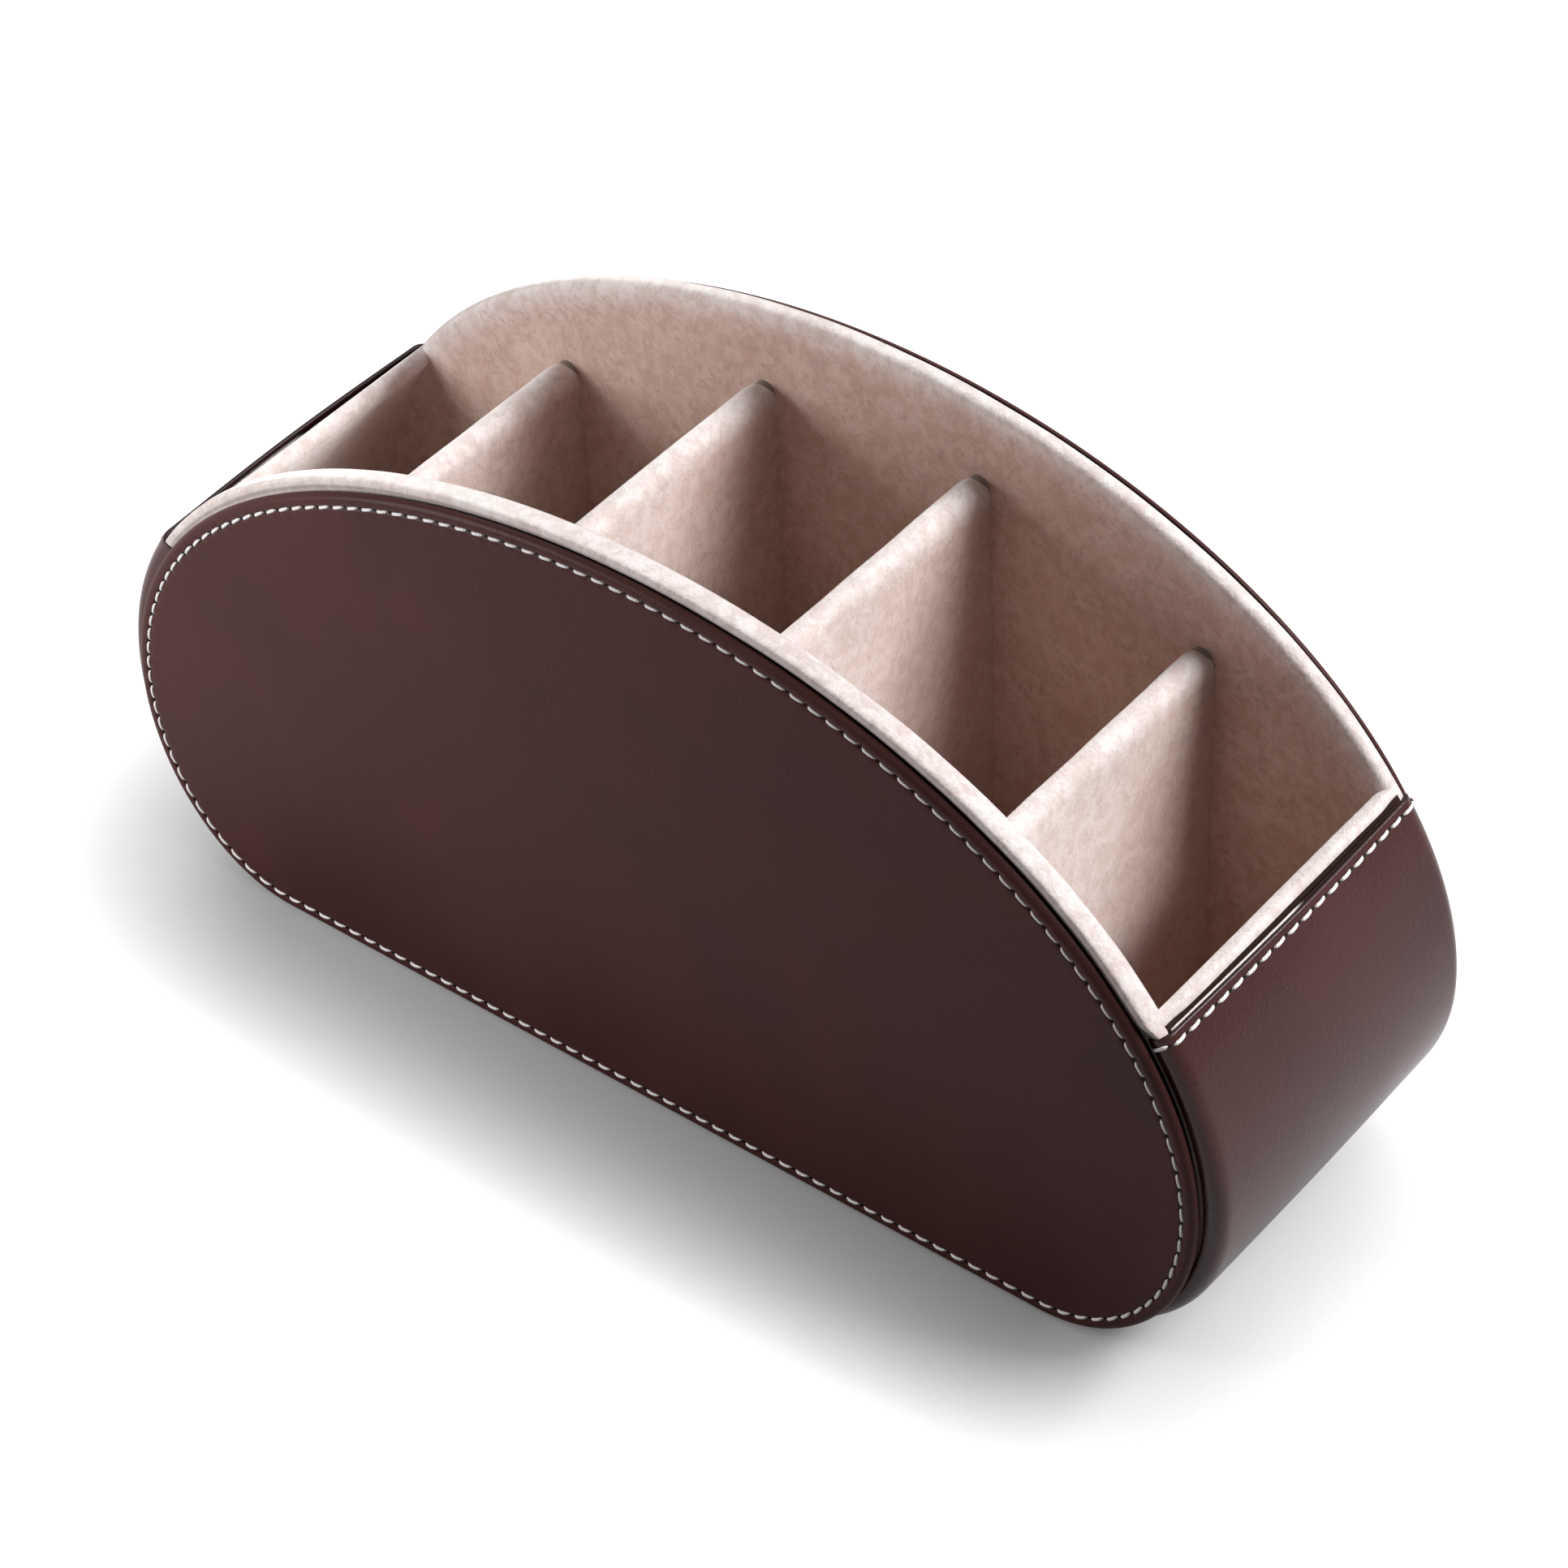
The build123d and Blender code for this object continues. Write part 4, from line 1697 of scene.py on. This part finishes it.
@dataclass(frozen=True)
class Studio:
    """Pale floor, soft daylight and the camera."""

    azimuth: float = 40.01  # way round to the camera from the front, in degrees
    elevation: float = 41.79  # way up to it
    roll: float = -2.99  # how far its picture is turned
    distance: float = 0.8179  # distance from it to its target, in metres
    lens: float = 113.25  # its focal length, in millimetres
    target: Place = (0.03667, -0.0395, 0.09657)  # the spot that it faces
    daylight: Color = (1.0, 0.98, 1.0)  # tint of the sky and of the floor's glow
    sky: float = 0.065  # strength of the sky that lights the caddy
    glow: float = 0.82  # strength of the sky and of the floor's glow that the camera sees
    mirrored: float = 0.75  # strength of the sky that reflections see, as a share of that
    mirrored_floor: float = 1.2  # strength of the floor's glow that reflections see, likewise
    shown: float = 0.45  # tone of the floor that the camera sees
    hidden: Color = (0.13, 0.13, 0.131)  # colour of the floor that other rays see
    reach: float = 6.0  # half the width of the floor
    contact: float = 0.036  # distance within which things near the floor take its glow away
    contact_power: float = 2.2  # how fast they do
    # way that the floor looks for them, towards the open sky
    contact_way: Place = (0.2, 0.77, 0.6)
    lamps: tuple[SoftLamp, ...] = (
        SoftLamp("strip lamp", (0.74, 0.56, 0.88), (0.8, 0.26), 19.8),
        SoftLamp("left lamp", (-0.6, 0.28, 0.8), (0.5, 0.5), 2.6),
        SoftLamp("front lamp", (-0.2, -0.22, 0.15), (0.14, 0.14), 0.62),
    )

    def camera(self) -> None:
        """Places the camera on a sphere about its target.

        With a the azimuth and e the elevation, the way back from the target is
        (sin a cos e, -cos a cos e, sin e), and the picture's right and up are turned by the roll.
        """
        a, e, r = (math.radians(v) for v in (self.azimuth, self.elevation, self.roll))
        back = Vector((math.sin(a) * math.cos(e), -math.cos(a) * math.cos(e), math.sin(e)))
        level = Vector((math.cos(a), math.sin(a), 0.0))
        upright = back.cross(level)
        right = math.cos(r) * level + math.sin(r) * upright
        up = -math.sin(r) * level + math.cos(r) * upright
        data = bpy.data.cameras.new("camera")
        data.lens = self.lens
        data.sensor_width = 36.0
        data.clip_start = 0.01
        place = Vector(self.target) + back * self.distance
        bpy.context.scene.camera = stand(data, right, up, back, place)

    def floor(self) -> None:
        """Lays a wide pale floor.

        The camera sees its lit tone, which holds the shadows, plus a glow times AO^2.2, which
        keeps the shadows pale except close to the caddy. Reflections see the glow times their
        own strength. All other rays see a dark floor, which throws little light back up.
        """
        mesh = bpy.data.meshes.new("floor")
        signs = ((-1, -1), (1, -1), (1, 1), (-1, 1))
        corners = [(x * self.reach, y * self.reach, 0.0) for x, y in signs]
        mesh.from_pydata(corners, [], [(0, 1, 2, 3)])
        obj = show("floor", mesh)
        material, bench, shader = start_material("floor paper")
        light = bench.add("LightPath").outputs
        seen, glossy = light["Is Camera Ray"], light["Is Glossy Ray"]
        tint = bench.mix(seen, self.hidden, (self.shown,) * 3)
        way = bench.add("CombineXYZ", **dict(zip("XYZ", self.contact_way))).outputs[0]
        near = bench.add("AmbientOcclusion", samples=6, Distance=self.contact, Normal=way)
        open_sky = bench.math("POWER", near.outputs["AO"], self.contact_power)
        pale = bench.math("MAXIMUM", seen, bench.product(glossy, self.mirrored_floor))
        glow = bench.product(open_sky, pale, self.glow)
        bench.feed(shader, Base_Color=tint, Roughness=0.9, Specular_IOR_Level=0.1)
        bench.feed(shader, Emission_Strength=glow, Emission_Color=self.daylight)
        mesh.materials.append(material)

    def light(self) -> None:
        """Sets a dim even sky that the camera and reflections see pale, and hangs the lamps."""
        world = bpy.data.worlds.new("sky")
        bpy.context.scene.world = world
        world.use_nodes = True
        bench = Bench(world.node_tree)
        light = bench.add("LightPath").outputs
        mirrored = bench.product(light["Is Glossy Ray"], self.mirrored)
        seen = bench.math("MAXIMUM", light["Is Camera Ray"], mirrored)
        pale = bench.math("MULTIPLY_ADD", seen, self.glow - self.sky, self.sky)
        background = world.node_tree.nodes["Background"]
        bench.feed(background, Color=self.daylight, Strength=pale)
        for lamp in self.lamps:
            lamp.hang()
        bpy.context.scene.view_settings.view_transform = "Standard"


# ---- whole ----


class Caddy:
    """The whole caddy: its finishes and its dressed pieces."""

    def __init__(self, nodes: dict[str, Object]) -> None:
        """Reads the sizes and mixes the finishes.

        Args:
            nodes: The solids, by name.
        """
        effects = Effects()
        self.nodes = nodes
        self.plan = Plan.read()
        self.suede = SuedeFinish(
            "beige suede",
            (0.53, 0.33, 0.258),
            (0.705, 0.53, 0.462),
            folds=(
                ((73.6, -19.7, 88.0), (73.6, -1.0, 76.0), 0.35),
                ((73.6, -1.0, 76.0), (73.6, 17.1, 71.9), 0.6),
                ((76.0, 32.9, 54.0), (103.0, 32.9, 70.5), 0.3),
            ),
        ).material(effects)
        self.lining = SuedeFinish(
            "pale lining", (0.66, 0.46, 0.41), (0.78, 0.6, 0.54)
        ).material(effects)
        self.panel_leather = LeatherFinish(
            "panel leather",
            (0.055, 0.0195, 0.0175),
            (0.071, 0.0265, 0.024),
            # Edge tone: near-black edge paint that also stands for the shade in the crevice.
            (0.004, 0.0015, 0.0015),
            roughness=0.4,
            index=1.17,
        ).material(effects)
        self.band_leather = LeatherFinish(
            "band leather",
            (0.047, 0.0125, 0.0115),
            (0.061, 0.017, 0.016),
            # Edge tone: dark burgundy edge paint that also stands for the shade on the hem's edge.
            (0.014, 0.002, 0.003),
            roughness=0.26,
            index=1.34,
            pitch=4.0,
            grain=0.16,
            edge_from=1.35,
        ).material(effects)
        thread = ThreadFinish("off-white thread", (0.99, 0.97, 0.96), (0.94, 0.91, 0.89))
        felt = FeltFinish("dark felt", (0.012, 0.009, 0.008), (0.04, 0.03, 0.027), 900.0)
        board = FeltFinish("grey board", (0.3, 0.25, 0.2), (0.42, 0.36, 0.3), 500.0)
        self.thread, self.felt = thread.material(), felt.material()
        self.board = board.material()

    def build(self) -> None:
        """Builds every piece in order, and gives the hidden boards their finish."""
        for side in Side:
            panel = StitchedPanel(self.plan, side)
            panel.leather(self.panel_leather)
            panel.stitching(self.thread)
            wall = TrayWall(self.plan, side)
            if side is Side.REAR:
                wall = TrayWall(self.plan, side, overhang=0.0, square=0.8)
            wall.suede(self.suede)
        BentWall(self.plan).suede(self.suede)
        for number in range(1, 5):
            Divider(self.plan, number).suede(self.suede)
        band = Band(self.plan)
        band.cover(self.band_leather)
        band.strip(self.lining)
        for end in End:
            band.stitching(end, self.thread)
        BasePad().felt(self.felt)
        for name, node in self.nodes.items():
            if "board" in name:
                node.data.materials.clear()
                node.data.materials.append(self.board)


def main() -> None:
    """Builds the caddy and its studio."""
    logging.basicConfig(level=logging.INFO, format="%(name)s: %(message)s")
    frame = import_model()
    Caddy(frame["nodes"]).build()
    studio = Studio()
    studio.camera()
    studio.floor()
    studio.light()


if __name__ == "__main__":
    main()
